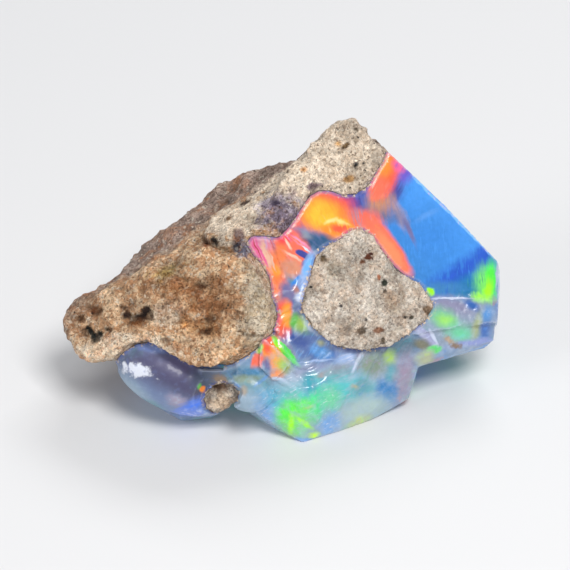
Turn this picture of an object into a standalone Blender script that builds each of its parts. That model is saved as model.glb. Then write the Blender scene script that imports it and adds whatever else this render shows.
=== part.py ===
"""Rough Ethiopian opal: a broken lump of precious opal still grown to its host rock.

The stone is drawn on its broken face, in millimetres: x runs along the face, up runs up it, and out
points away from it. The whole stone is then leaned back, so that it rests on its flat underside.
These solids make it up:
  opal         the clear to milky body, with its flat break, its shell-shaped chips and a botryoidal lobe
  host_rock    the volcanic rock that the opal grew in, on the left, over the top and down the back
  rock_island  a separate fragment of the same rock, set in the middle of the opal's face
  rock_crumb   a crumb of the rock, low on the face beside the lobe
"""
import math

import bmesh
import bpy
from mathutils import Matrix, Vector, noise

# Driving dimensions. Lengths are in millimetres until to_metres().
FACE_ELEVATION = math.radians(34.6)   # how far the broken face looks up above the horizon
LEAN = Matrix.Rotation(math.pi / 2 - FACE_ELEVATION, 4, "X")
GAP = 0.25                            # between the opal and the rock that it holds
MILLIMETRE = 0.001

# The great break that carries the blue facet, as out = BREAK_OUT + BREAK_ALONG * x + BREAK_UP * up.
BREAK_OUT = 3.52
BREAK_ALONG = -0.403
BREAK_UP = -0.087

# How far the rock takes over behind the face: each millimetre of depth moves its edge this far along x.
ROCK_SPREAD = 0.34
FACE_FRONT = 9.0                      # a plane clear in front of the face
FACE_BACK = -19.0                     # a plane clear behind the stone

# Roughness of the rock: (height, spacing) of each layer of lumps.
ROCK_LUMPS = ((0.34, 3.1), (0.20, 1.35), (0.10, 0.62))
ROCK_VOXEL = 0.36
ROCK_TRIANGLES = 4400
# Pits in the front of the rock, and the crease between its lump and its upper band, each as
# (x, up, radius, depth).
ROCK_PITS = (
    (-8.8, 8.8, 0.6, 0.40), (-9.6, 9.2, 0.4, 0.25), (-2.9, 9.9, 0.5, 0.40), (-3.5, 8.9, 0.35, 0.30),
    (-15.0, 7.4, 0.5, 0.35), (-14.6, 7.9, 0.35, 0.25), (-12.2, 8.9, 0.5, 0.30), (-6.1, 7.2, 0.5, 0.30),
    (-4.2, 13.6, 0.45, 0.40), (-4.9, 13.45, 0.45, 0.40), (-5.6, 13.1, 0.45, 0.40),
    (-6.3, 12.85, 0.45, 0.35),
    (-7.0, 12.6, 0.45, 0.25), (1.6, 19.6, 0.4, 0.2), (-6.4, 10.3, 0.4, 0.25), (-11.2, 7.6, 0.4, 0.25),
)
ISLAND_TRIANGLES = 1200
CRUMB_TRIANGLES = 400

# The line where the rock meets the opal on the face, from the ridge by the peak down to the left tip.
ROCK_EDGE = (
    (5.6, 20.3), (5.3, 19.4), (4.7, 18.4), (4.3, 17.7), (3.6, 17.25), (2.8, 17.1), (1.9, 17.4),
    (1.0, 17.4), (0.3, 17.0), (-0.2, 16.3), (-0.7, 15.5), (-1.2, 14.8), (-1.8, 14.2), (-2.6, 14.3),
    (-3.6, 14.3), (-4.2, 13.7), (-3.9, 12.8), (-3.4, 12.3), (-2.8, 11.3), (-2.3, 9.9), (-2.2, 8.9),
    (-2.3, 8.1), (-2.7, 7.4), (-3.2, 6.7), (-4.0, 6.1), (-4.8, 5.7), (-6.0, 5.3), (-7.5, 5.3),
    (-8.4, 5.8), (-9.2, 6.3), (-10.0, 6.8), (-10.6, 7.1), (-11.7, 6.9), (-12.6, 6.3), (-13.3, 5.7),
)
AROUND_ROCK = ((-13.4, 4.0), (-19.0, 4.0), (-19.0, 26.0), (9.0, 26.0))

# The outline of the rock island on the face, clockwise from its top.
ISLAND_EDGE = (
    (3.4, 14.4), (4.1, 14.45), (4.7, 14.0), (5.1, 13.4), (5.7, 12.6), (6.3, 11.9), (7.0, 11.3),
    (7.9, 10.8), (8.5, 10.0), (8.8, 9.4), (8.3, 8.5), (7.4, 7.8), (6.6, 7.1), (5.6, 6.6), (4.3, 6.45),
    (3.2, 6.5), (2.3, 6.7), (1.3, 7.5), (0.5, 8.6), (0.05, 9.2), (0.2, 10.0), (0.5, 10.9), (0.7, 11.9),
    (0.95, 12.6), (1.8, 13.4), (2.6, 13.8),
)
ISLAND_DEPTH = 3.4                    # how deep the fragment is set below the break
ISLAND_PROUD = 0.3                    # how far it stands above the break

# A crumb of rock low on the face, in the notch beside the lobe.
CRUMB_EDGE = (
    (-6.5, 3.5), (-6.1, 3.9), (-5.5, 4.05), (-4.9, 3.9), (-4.5, 3.5), (-4.6, 2.95), (-5.0, 2.6),
    (-5.5, 2.3), (-6.1, 2.1), (-6.5, 2.4), (-6.7, 2.95),
)
CRUMB_DEPTH = 1.7
CRUMB_GAP = 0.12

POCKET_TAPER = 0.72                   # a pocket's width at its back, as a share of its front
POCKET_FRONT = 1.5                    # how far in front of the face the pocket's cutter starts


def break_out(x, up):
    """How far out the great break lies at a place on the face."""
    return BREAK_OUT + BREAK_ALONG * x + BREAK_UP * up


def crumb_out(x, up):
    """How far out the front of the crumb lies."""
    return 0.75 + 0.5 * (up - 3.1)


def on_break(x, up, proud=0.0):
    """A corner on the great break, or that far in front of it."""
    return (x, up, break_out(x, up) + proud)


def standing(x, back, height):
    """A corner given as the stone stands: back from the foot's tip, and height above the table."""
    sine, cosine = math.sin(FACE_ELEVATION), math.cos(FACE_ELEVATION)
    return (x, back * sine + height * cosine, height * sine - back * cosine)


# --- building blocks -------------------------------------------------------------------------------
def new_object(name, shape, helper=True):
    """Makes a bmesh an object. A helper only joins or cuts other shapes."""
    bmesh.ops.recalc_face_normals(shape, faces=shape.faces)
    mesh = bpy.data.meshes.new(name)
    shape.to_mesh(mesh)
    shape.free()
    thing = bpy.data.objects.new(name, mesh)
    bpy.context.scene.collection.objects.link(thing)
    if helper:
        thing.hide_render = True
        thing.display_type = "WIRE"
    return thing


def chunk(name, corners):
    """A lump with flat breaks all round: the convex hull of its corners."""
    shape = bmesh.new()
    for corner in corners:
        shape.verts.new(corner)
    bmesh.ops.convex_hull(shape, input=shape.verts)
    bmesh.ops.delete(shape, geom=[v for v in shape.verts if not v.link_faces], context="VERTS")
    return new_object(name, shape)


def ball(name, centre, radii, turned=Matrix()):
    """An ellipsoid: the shape of a botryoidal lobe."""
    shape = bmesh.new()
    bmesh.ops.create_icosphere(shape, subdivisions=4, radius=1.0)
    placed = Matrix.Translation(centre) @ turned @ Matrix.Diagonal((*radii, 1.0))
    bmesh.ops.transform(shape, matrix=placed, verts=shape.verts)
    return new_object(name, shape)


def chip(name, place, facing, radii, depth, turn=0.0):
    """The bowl of a shell-shaped chip: it cuts this deep into the face at its place."""
    facing = Vector(facing).normalized()
    turned = facing.to_track_quat("Z", "Y").to_matrix().to_4x4()
    turned @= Matrix.Rotation(math.radians(turn), 4, "Z")
    return ball(name, Vector(place) + facing * (radii[2] - depth), radii, turned)


def grown(outline, by):
    """A closed outline moved outwards by a distance. Its points run clockwise."""
    moved = []
    for before, here, after in zip(outline[-1:] + outline[:-1], outline, outline[1:] + outline[:1]):
        along = (Vector(after) - Vector(before)).normalized()
        moved.append(Vector(here) + by * Vector((-along.y, along.x)))
    return moved


def column(name, corners, to_back):
    """A column whose front has these corners. The matrix to_back moves the front to the back."""
    shape = bmesh.new()
    face = shape.faces.new([shape.verts.new(corner) for corner in corners])
    made = bmesh.ops.extrude_face_region(shape, geom=[face])
    back = [v for v in made["geom"] if isinstance(v, bmesh.types.BMVert)]
    bmesh.ops.transform(shape, matrix=to_back, verts=back)
    return new_object(name, shape)


def combine(thing, operation, *others, overlap=False):
    """Joins, cuts or keeps what is common, with an exact Boolean for each other object."""
    for other in others:
        boolean = thing.modifiers.new(f"{operation} {other.name}", "BOOLEAN")
        boolean.operation = operation
        boolean.use_self = overlap
        boolean.object = other
    return thing


def settled(thing):
    """Applies every modifier, so that code can move the points of the result."""
    graph = bpy.context.evaluated_depsgraph_get()
    done = bpy.data.meshes.new_from_object(thing.evaluated_get(graph))
    thing.modifiers.clear()
    thing.data = done
    return thing


# --- the rock --------------------------------------------------------------------------------------
def lumpy(place):
    """Height of the rock's lumps at a place: layers of noise, each finer and lower than the last."""
    return sum(height * noise.noise(place / spacing) for height, spacing in ROCK_LUMPS)


def pitted(place, normal):
    """Depth of the named pits at a place on the front of the rock."""
    if normal.z < 0.1:
        return 0.0
    return sum(
        depth * math.exp(-((place.x - x) ** 2 + (place.y - up) ** 2) / radius ** 2)
        for x, up, radius, depth in ROCK_PITS
    )


def weathered(thing, smoothing):
    """Turns joined chunks into worn, lumpy rock: even faces, rounded corners, then lumps and pits."""
    remesh = thing.modifiers.new("even faces", "REMESH")
    remesh.mode = "VOXEL"
    remesh.voxel_size = ROCK_VOXEL
    smooth = thing.modifiers.new("rounded corners", "SMOOTH")
    smooth.factor = 0.5
    smooth.iterations = smoothing
    settled(thing)
    places = [v.co + v.normal * (lumpy(v.co) - pitted(v.co, v.normal)) for v in thing.data.vertices]
    for vertex, place in zip(thing.data.vertices, places):
        vertex.co = place
    return thing


def thinned(thing, triangles):
    """Keeps the shape with about this many triangles."""
    thing.data.calc_loop_triangles()
    decimate = thing.modifiers.new("fewer triangles", "DECIMATE")
    decimate.ratio = min(1.0, triangles / len(thing.data.loop_triangles))
    decimate.use_collapse_triangulate = True
    return settled(thing)


def rock_region(name, grow=0.0):
    """All that lies on the rock's side of its edge. Behind the face the rock spreads to the right."""
    corners = []
    for x, up in grown(list(ROCK_EDGE + AROUND_ROCK), grow):
        face_out = min(break_out(x, up), 3.2, 5.4 + 0.3 * x)
        corners.append((x - ROCK_SPREAD * (FACE_FRONT - face_out), up, FACE_FRONT))
    depth = FACE_FRONT - FACE_BACK
    return column(name, corners, Matrix.Translation((ROCK_SPREAD * depth, 0, -depth)))


def pocket(name, outline, face, depth, grow=0.0):
    """The room of a rock fragment in the opal: its outline on the face, narrowing towards the back."""
    middle = sum((Vector(point) for point in outline), Vector((0, 0))) / len(outline)
    at_front = 1 + (1 - POCKET_TAPER) * POCKET_FRONT / depth
    rim = [middle + at_front * (point - middle) for point in grown(list(outline), grow)]
    corners = [(*point, face(*point) + POCKET_FRONT) for point in rim]
    hub = Vector((*middle, face(*middle) + POCKET_FRONT))
    inwards = Vector((0, 0, -POCKET_FRONT - depth - grow))
    narrow = Matrix.Scale(POCKET_TAPER / at_front, 4)
    return column(name, corners, Matrix.Translation(hub + inwards) @ narrow @ Matrix.Translation(-hub))


def fragment(name, outline, face, depth, proud, triangles):
    """A rock fragment in its pocket: a block with a worn, lumpy front that stands proud of the face."""
    corners = [Vector((*point, face(*point) + proud)) for point in grown(list(outline), 1.0)]
    block = chunk(name, corners + [corner - Vector((0, 0, 2 * depth)) for corner in corners])
    block = thinned(weathered(block, smoothing=2), triangles)
    return settled(combine(block, "INTERSECT", pocket(f"{name} pocket", outline, face, depth)))


def host_rock():
    """The rock: a rounded lump on the left, a worn rind over the top, and the stone's back."""
    lump = chunk("lump", [
        (-2.0, 10.0, 3.7), (-1.9, 8.0, 3.6), (-3.2, 13.0, 3.5), (-3.2, 6.2, 4.2), (-6.0, 5.1, 4.4),
        (-8.0, 5.4, 3.5), (-10.3, 6.4, 2.3), (-12.6, 5.5, 1.5), (-14.8, 5.6, 0.6), (-16.4, 7.0, -0.7),
        (-16.7, 8.4, -1.2), (-16.3, 9.6, -1.8), (-14.2, 10.5, -0.6), (-11.8, 10.9, 1.3),
        (-8.6, 11.5, 3.0),
        (-5.6, 9.5, 4.6), (-6.0, 13.4, 3.0), (-3.0, 15.4, 3.0), (-15.8, 7.4, -4.6), (-13.0, 8.4, -8.0),
        (-8.0, 13.6, -6.0), (-2.0, 14.0, -6.0), (-2.0, 6.5, -6.0), (-9.0, 6.0, -6.0),
    ])
    rind = chunk("rind", [
        (-14.1, 10.1, -1.6), (-13.0, 11.5, -4.6), (-10.5, 13.9, -5.6), (-7.6, 15.8, -5.9),
        (-5.5, 17.9, -5.4), (-4.0, 18.6, -4.8), (-2.0, 18.9, -4.2), (-0.4, 19.5, -3.2), (-1.5, 17.7, 0.8),
        (-4.4, 15.0, 2.6), (-8.6, 11.5, 2.4), (-11.8, 10.7, 0.8),
        standing(-13.6, 11.5, 5.0), standing(-11.5, 14.2, 3.0), standing(-8.0, 16.2, 5.0),
        standing(-3.0, 17.2, 8.0), standing(2.0, 17.0, 8.5), standing(-2.0, 12.0, 2.0),
    ])
    peak = chunk("peak", [
        on_break(-3.4, 14.6, 0.2), on_break(-1.5, 18.0, -0.4), on_break(-0.3, 19.9, -1.2),
        on_break(1.1, 21.25, -0.7), on_break(2.2, 22.1, -0.4), on_break(3.1, 22.35, -0.3),
        on_break(4.0, 21.9, -0.2), on_break(4.9, 20.9, 0.0), on_break(5.9, 19.8, 0.3),
        on_break(6.6, 16.0, 0.3), on_break(0.0, 13.0, 0.3),
        standing(5.6, 15.9, 13.3), standing(3.4, 15.0, 16.2),
        standing(0.0, 16.0, 12.0), standing(8.0, 15.6, 9.4), standing(2.0, 17.1, 8.0),
        standing(-2.0, 15.0, 6.0),
    ])
    back = chunk("back", [
        standing(-12.8, 10.0, 2.6), standing(-11.6, 8.6, -1.0), standing(-8.0, 6.0, -1.0),
        standing(-11.4, 13.6, 1.2), standing(-8.2, 15.6, -1.0), standing(-8.0, 16.2, 5.0),
        standing(-3.0, 17.2, 8.0), standing(0.5, 16.8, -1.0), standing(2.0, 17.0, 8.0),
        standing(5.8, 16.4, 4.0), standing(6.4, 15.2, -1.0), standing(2.0, 8.0, -1.0),
        standing(-13.2, 9.6, 6.0), standing(-2.0, 8.0, 8.0),
    ])
    rock = combine(lump, "UNION", rind, peak, back, overlap=True)
    rock = thinned(weathered(rock, smoothing=5), ROCK_TRIANGLES)
    return settled(combine(rock, "INTERSECT", rock_region("rock region")))


def fragments():
    """The pale fragment in the middle of the face, and the crumb."""
    return (
        fragment("rock_island", ISLAND_EDGE, break_out, ISLAND_DEPTH, ISLAND_PROUD, ISLAND_TRIANGLES),
        fragment("rock_crumb", CRUMB_EDGE, crumb_out, CRUMB_DEPTH, 0.25, CRUMB_TRIANGLES),
    )


# --- the opal --------------------------------------------------------------------------------------
def opal():
    """The opal: a core behind the great break, with the foot, the right-hand ledge and the left lobe."""
    core = chunk("opal", [
        on_break(5.6, 20.25), on_break(9.8, 16.3), on_break(13.5, 12.4), on_break(13.45, 8.3),
        on_break(8.7, 7.9), on_break(1.2, 6.6), on_break(-3.6, 8.0), on_break(-4.6, 14.5),
        on_break(0.5, 18.4), (13.7, 11.4, -4.4), (13.4, 7.9, -4.6),
        standing(12.7, 12.6, 6.4), standing(8.6, 15.4, 9.2), standing(5.3, 15.5, 13.6),
        standing(9.4, 13.4, 0.6), standing(11.6, 11.4, 1.6), standing(3.0, 15.5, 0.5),
        standing(-3.0, 14.0, 2.0),
    ])
    ledge = chunk("ledge", [
        on_break(13.3, 8.7, -0.45), on_break(8.6, 8.5, -0.45), on_break(7.3, 7.9, -0.5),
        (13.2, 7.0, -3.6), (12.6, 6.45, -4.2), (10.5, 6.6, -3.0), (9.0, 5.9, -1.9), (8.0, 5.2, -2.0),
        (13.4, 8.2, -5.0), (12.6, 7.2, -6.5),
        standing(9.0, 10.5, 1.0), standing(6.5, 8.0, 1.0), standing(11.6, 11.2, 1.8), (5.0, 7.5, 1.0),
    ])
    foot = chunk("foot", [
        standing(0.0, 0.0, 0.0), standing(0.3, 0.5, -0.5), standing(-1.2, 1.4, -0.5),
        standing(-2.9, 3.1, -0.5), standing(2.8, 1.5, -0.5), standing(4.2, 2.9, -0.5),
        standing(6.0, 4.4, -0.5), (7.3, 3.0, -2.9), (7.9, 5.0, -2.2),
        (8.0, 7.8, -0.8), on_break(4.3, 6.3, -0.5), on_break(1.2, 6.8, -0.3), (-2.4, 7.0, 3.1),
        (-4.6, 5.6, 3.0), (-4.4, 2.9, 0.6), (-1.4, 1.6, 1.0), (0.6, 2.0, 1.4),
        standing(7.4, 7.4, -0.5), standing(8.6, 11.8, -0.5), standing(5.0, 14.4, -0.5),
        standing(-5.0, 13.0, -0.5),
        standing(-5.4, 6.0, -0.5), standing(-2.0, 12.0, 6.0), standing(8.0, 11.0, 6.0),
    ])
    heel = chunk("heel", [
        (-8.4, 1.75, -1.4), (-7.1, 1.8, -1.6), (-6.2, 2.3, -1.0), (-4.2, 3.0, 0.2), (-4.0, 5.6, 2.6),
        (-6.6, 5.2, 2.2), (-8.0, 4.0, 1.0), standing(-8.4, 3.1, -0.9), standing(-7.0, 3.4, -0.9),
        standing(-9.8, 4.3, -0.9), standing(-11.0, 8.0, -0.9), standing(-5.4, 9.0, -0.9),
        standing(-4.5, 6.0, 3.0),
        standing(-12.0, 8.4, 2.4), (-4.0, 8.0, -2.0), (-10.0, 9.0, -3.0), (-12.8, 6.4, -1.4),
    ])
    tilted = Matrix.Rotation(math.radians(8), 4, "Y") @ Matrix.Rotation(math.radians(-22), 4, "Z")
    lobe = ball("lobe", (-8.75, 4.5, -0.6), (4.4, 2.4, 2.8), tilted)
    lobe_chip = chip("lobe chip", (-6.7, 3.1, 1.2), (0.80, -0.35, 0.60), (4.5, 4.0, 4.2), 0.45)
    combine(lobe, "DIFFERENCE", lobe_chip)
    end_chips = (
        chip("end chip", (12.9, 10.2, -6.2), (1.0, 0.12, -0.42), (8.0, 6.6, 7.4), 0.6),
        chip("upper end chip", standing(9.6, 14.6, 9.6), (0.75, 0.6, -0.55), (9.5, 7.5, 9.0), 0.7),
    )
    combine(core, "DIFFERENCE", *end_chips)
    body = combine(core, "UNION", ledge, foot, heel, overlap=True)
    combine(body, "UNION", lobe)
    notch = chunk("notch", [
        standing(-6.7, -2.0, -2.0), standing(-3.3, -2.0, -2.0), standing(-6.3, 3.1, -2.0),
        standing(-3.8, 3.3, -2.0), standing(-5.0, 4.7, -2.0), standing(-5.7, -2.0, 2.7),
        standing(-4.4, -2.0, 3.0), standing(-5.3, 2.3, 2.7), standing(-4.5, 2.1, 2.5),
        standing(-6.4, -2.0, 1.5), standing(-3.5, -2.0, 1.7),
    ])
    chips = (
        chip("fan chip", on_break(-1.7, 11.6), (-0.2, 0.1, 1.0), (2.7, 5.6, 4.0), 0.85, turn=8),
        chip("gully", on_break(-1.0, 8.2), (0.0, 0.0, 1.0), (1.8, 3.4, 2.8), 1.0),
        chip("shell chip", (0.9, 5.9, 2.05), (0.05, -0.25, 1.0), (3.5, 2.9, 3.2), 0.75),
        chip("broad chip", (6.0, 5.0, -0.85), (0.50, -0.35, 0.80), (4.6, 3.4, 4.2), 0.50),
        chip("right foot chip", (4.1, 2.8, -0.62), (0.53, -0.42, 0.74), (5.8, 4.4, 5.2), 0.42),
        chip("left foot chip", (-1.5, 3.2, 1.95), (-0.07, -0.45, 0.90), (4.4, 4.4, 4.6), 0.40),
        chip("ledge chip", (10.6, 7.2, -1.9), (0.38, -0.48, 0.79), (4.6, 1.8, 3.4), 0.35),
        notch,
    )
    combine(body, "DIFFERENCE", *chips)
    wedge = chunk("wedge", [
        (-2.9, 7.4, 3.5), (-0.7, 5.6, 3.1), (-2.0, 4.2, 2.5), (-3.0, 5.2, 3.1), (-1.4, 5.6, 0.5),
        (-2.6, 7.2, 1.5),
    ])
    dome = ball("dome", (-3.6, 3.8, 1.25), (1.8, 1.7, 1.25))
    combine(body, "UNION", wedge, dome)
    rooms = (
        pocket("island's room", ISLAND_EDGE, break_out, ISLAND_DEPTH, GAP),
        pocket("crumb's room", CRUMB_EDGE, crumb_out, CRUMB_DEPTH, CRUMB_GAP),
        rock_region("rock's room", GAP),
    )
    return settled(combine(body, "DIFFERENCE", *rooms))


# --- putting the stone on the table ----------------------------------------------------------------
def lean_back(things):
    """Leans the stone to its resting pose and cuts its underside flat at the table."""
    table = bmesh.new()
    bmesh.ops.create_cube(table, size=1.0, matrix=Matrix.Diagonal((80, 80, 20, 1)))
    bmesh.ops.translate(table, vec=(0, 0, -10), verts=table.verts)
    table = new_object("table", table)
    for thing in things:
        thing.data.transform(LEAN)
        settled(combine(thing, "DIFFERENCE", table))


def to_metres(things):
    """Puts the origin under the middle of the stone, and turns millimetres into metres."""
    corners = [vertex.co for thing in things for vertex in thing.data.vertices]
    low = Vector(min(c[axis] for c in corners) for axis in range(3))
    high = Vector(max(c[axis] for c in corners) for axis in range(3))
    middle = (low + high) / 2
    move = Matrix.Translation((-middle.x, -middle.y, -low.z))
    for thing in things:
        thing.data.transform(Matrix.Scale(MILLIMETRE, 4) @ move)
    print("size in millimetres:", [round(side, 2) for side in high - low], "moved by", move.translation)


def finish(thing, name, colour, roughness, crease):
    """Gives a solid its name, its material and smooth shading up to sharp edges."""
    material = bpy.data.materials.new(name)
    material.use_nodes = True
    surface = material.node_tree.nodes["Principled BSDF"]
    surface.inputs["Base Color"].default_value = (*colour, 1.0)
    surface.inputs["Roughness"].default_value = roughness
    surface.inputs["Metallic"].default_value = 0.0
    thing.name = name
    thing.data.name = name
    thing.data.materials.clear()
    thing.data.materials.append(material)
    thing.data.shade_smooth()
    thing.data.set_sharp_from_angle(angle=math.radians(crease))
    thing.hide_render = False
    thing.display_type = "TEXTURED"


def main():
    for old in list(bpy.data.objects):
        bpy.data.objects.remove(old)
    gem, rock, crumbs = opal(), host_rock(), fragments()
    lean_back((gem, rock, *crumbs))
    to_metres((gem, rock, *crumbs))
    finish(gem, "opal", (0.42, 0.58, 0.80), 0.08, crease=28)
    finish(rock, "host_rock", (0.50, 0.37, 0.25), 0.92, crease=60)
    for crumb in crumbs:
        finish(crumb, crumb.name, (0.62, 0.55, 0.47), 0.90, crease=60)


main()
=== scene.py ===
# %% [markdown]
# # A rough opal, still in its rock
#
# This script turns a plain solid model of a rough Ethiopian opal into a picture of the real thing.
# The solids are already right in size, outline and large form. What they lack is everything that the eye
# enjoys: gritty volcanic rock, glassy breaks with ripples in them, and play of colour.
# Each step below has a note on what the real stone does and how the code imitates it.

# %% Load the solids
import math

import bmesh
import bpy
import numpy as np
from mathutils import Matrix, Vector
from mathutils.bvhtree import BVHTree


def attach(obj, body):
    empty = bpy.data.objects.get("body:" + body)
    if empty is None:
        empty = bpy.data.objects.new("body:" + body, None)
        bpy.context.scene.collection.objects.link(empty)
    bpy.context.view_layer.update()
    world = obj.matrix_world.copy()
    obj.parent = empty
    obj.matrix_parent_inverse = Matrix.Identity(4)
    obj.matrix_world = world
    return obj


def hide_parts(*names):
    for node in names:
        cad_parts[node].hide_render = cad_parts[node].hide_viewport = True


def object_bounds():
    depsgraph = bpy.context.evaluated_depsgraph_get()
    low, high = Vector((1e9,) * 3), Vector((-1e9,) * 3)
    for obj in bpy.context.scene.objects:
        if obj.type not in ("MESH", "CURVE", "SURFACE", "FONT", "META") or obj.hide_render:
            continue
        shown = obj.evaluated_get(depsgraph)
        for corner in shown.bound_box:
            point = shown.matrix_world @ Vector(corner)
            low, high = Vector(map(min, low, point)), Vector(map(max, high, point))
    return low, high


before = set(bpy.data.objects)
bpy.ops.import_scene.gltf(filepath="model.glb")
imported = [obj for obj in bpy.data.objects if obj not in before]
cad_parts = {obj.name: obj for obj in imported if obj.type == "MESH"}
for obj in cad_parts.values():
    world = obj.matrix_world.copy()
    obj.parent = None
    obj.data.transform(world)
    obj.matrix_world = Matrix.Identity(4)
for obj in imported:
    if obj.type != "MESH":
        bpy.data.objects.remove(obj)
cad_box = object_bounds()
print("solids:", sorted(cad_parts))
print("box in millimetres:", [round((high - low) * 1000, 2) for low, high in zip(*cad_box)])

# %% [markdown]
# ## A frame of reference that suits the stone
#
# The broken face of the stone leans back. Everything worth describing lies on that face, so places on it
# are given as x to the right, up along the face and out towards the viewer, all in millimetres, measured
# from the tip of the stone's foot. One rotation and one shift connect that face frame to the solids.

# %% The face frame
ELEVATION = math.radians(34.6)            # how far the broken face looks up
FOOT_TIP = Vector((1.453, -8.322, 0.0))   # where the foot's tip stands, in millimetres
TO_FACE = Matrix.Rotation(ELEVATION - math.pi / 2, 3, "X")


def to_face(points):
    """Metres in the solids' frame to millimetres in the face frame, for an array of points."""
    return (points * 1000 - np.array(FOOT_TIP)) @ np.array(TO_FACE).T


def from_face(points):
    """Millimetres in the face frame back to metres in the solids' frame."""
    return (points @ np.array(TO_FACE) + np.array(FOOT_TIP)) / 1000


print("face frame: up is", [round(c, 3) for c in TO_FACE.inverted() @ Vector((0, 1, 0))])

# %% [markdown]
# ## Noise for shapes
#
# A real break or a weathered crust is never even. Smooth random heights on a grid of points, blended
# between the points, give unevenness of any size. The numbers come from a fixed seed, so the stone is the
# same one each time.

# %% Smooth noise over arrays of places
GRID = 32


def smooth_noise(places, spacing, seed):
    """Random heights from -1 to 1 that vary over this spacing, for an array of places."""
    heights = np.random.default_rng(seed).uniform(-1, 1, (GRID, GRID, GRID))
    scaled = places / spacing
    cell = np.floor(scaled).astype(int)
    part = scaled - cell
    part = part * part * (3 - 2 * part)
    total = 0
    for corner in np.ndindex(2, 2, 2):
        index = (cell + corner) % GRID
        share = np.prod(np.where(corner, part, 1 - part), axis=1)
        total = total + share * heights[index[:, 0], index[:, 1], index[:, 2]]
    return total


def layered_noise(places, spacing, seed, layers=3, falloff=0.5):
    """Several layers of smooth noise, each finer and lower than the last."""
    return sum(
        falloff ** layer * smooth_noise(places + 7.3 * layer, spacing * 0.5 ** layer, seed + layer)
        for layer in range(layers)
    )


def ramp(values, start, end):
    """0 before start, 1 after end and a smooth rise between them."""
    share = np.clip((values - start) / (end - start), 0, 1)
    return share * share * (3 - 2 * share)


sample = layered_noise(np.random.default_rng(1).uniform(-20, 20, (2000, 3)), 1.0, 5)
print("noise runs from", round(float(sample.min()), 2), "to", round(float(sample.max()), 2))

# %% [markdown]
# ## Finer surfaces from the plain solids
#
# The solids have faces up to a few millimetres wide. Real rock has form down to the grain, so each solid
# is copied, its surface is rebuilt from small even faces, and those are laid back on the solid, so that
# flat breaks stay flat. Where rock and opal have grown together the solids keep a gap between them. Here
# each side moves up to the other, so that only a hairline shows.

# %% Fine copies of the solids
SPACING = {"opal": 0.135, "host_rock": 0.135, "rock_island": 0.085, "rock_crumb": 0.05}
CONTACT = 0.42                            # surfaces nearer than this belong to one grown contact


def tree_of(thing):
    """A search tree over a mesh, for finding the nearest place on it."""
    shape = bmesh.new()
    shape.from_mesh(thing.data)
    tree = BVHTree.FromBMesh(shape)
    shape.free()
    return tree


def fine_copy(node):
    """A new piece with the surface of a solid, made of small even faces."""
    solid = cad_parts[node]
    shape = bmesh.new()
    shape.from_mesh(solid.data)
    bmesh.ops.remove_doubles(shape, verts=shape.verts, dist=1e-7)
    mesh = bpy.data.meshes.new(f"fine_{node}")
    shape.to_mesh(mesh)
    shape.free()
    piece = bpy.data.objects.new(f"fine_{node}", mesh)
    bpy.context.scene.collection.objects.link(piece)
    remesh = piece.modifiers.new("even faces", "REMESH")
    remesh.mode = "VOXEL"
    remesh.voxel_size = SPACING[node] / 1000
    lay = piece.modifiers.new("lay on the solid", "SHRINKWRAP")
    lay.wrap_method = "NEAREST_SURFACEPOINT"
    lay.target = solid
    graph = bpy.context.evaluated_depsgraph_get()
    fine = bpy.data.meshes.new_from_object(piece.evaluated_get(graph))
    piece.modifiers.clear()
    piece.data = fine
    fine.materials.clear()
    return piece


def places_of(piece):
    """A piece's points and normals as arrays, in the face frame."""
    count = len(piece.data.vertices)
    points, normals = np.empty(count * 3), np.empty(count * 3)
    piece.data.vertices.foreach_get("co", points)
    piece.data.vertex_normals.foreach_get("vector", normals)
    return to_face(points.reshape(-1, 3)), normals.reshape(-1, 3) @ np.array(TO_FACE).T


def put_places(piece, places):
    """Moves a piece's points, kept inside the box of the solids and above the table."""
    low, high = (np.array(corner) for corner in cad_box)
    points = np.clip(from_face(places), low, high)
    piece.data.vertices.foreach_set("co", points.ravel())
    piece.data.update()


def close_contact(piece, others):
    """Moves a piece's surface up to the solids that it has grown against. Returns the distances."""
    trees = [tree_of(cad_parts[other]) for other in others]
    distances = np.full(len(piece.data.vertices), 9.0)
    for vertex in piece.data.vertices:
        for tree in trees:
            place, _, _, distance = tree.find_nearest(vertex.co, 0.0012)
            if place is None or distance * 1000 >= distances[vertex.index]:
                continue
            distances[vertex.index] = distance * 1000
            target = place
        if distances[vertex.index] < CONTACT:
            share = 0.47 * ramp(distances[vertex.index], CONTACT, CONTACT - 0.1)
            vertex.co = vertex.co.lerp(target, float(share))
    piece.data.update()
    return distances


NEIGHBOURS = {
    "opal": ["host_rock", "rock_island", "rock_crumb"], "host_rock": ["opal"],
    "rock_island": ["opal"], "rock_crumb": ["opal"],
}
fine = {node: fine_copy(node) for node in NEIGHBOURS}
reach = {node: close_contact(fine[node], others) for node, others in NEIGHBOURS.items()}
for node, piece in fine.items():
    touching = int((reach[node] < CONTACT).sum())
    print(node, "has", len(piece.data.polygons), "faces;", touching, "points in contact")
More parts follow.
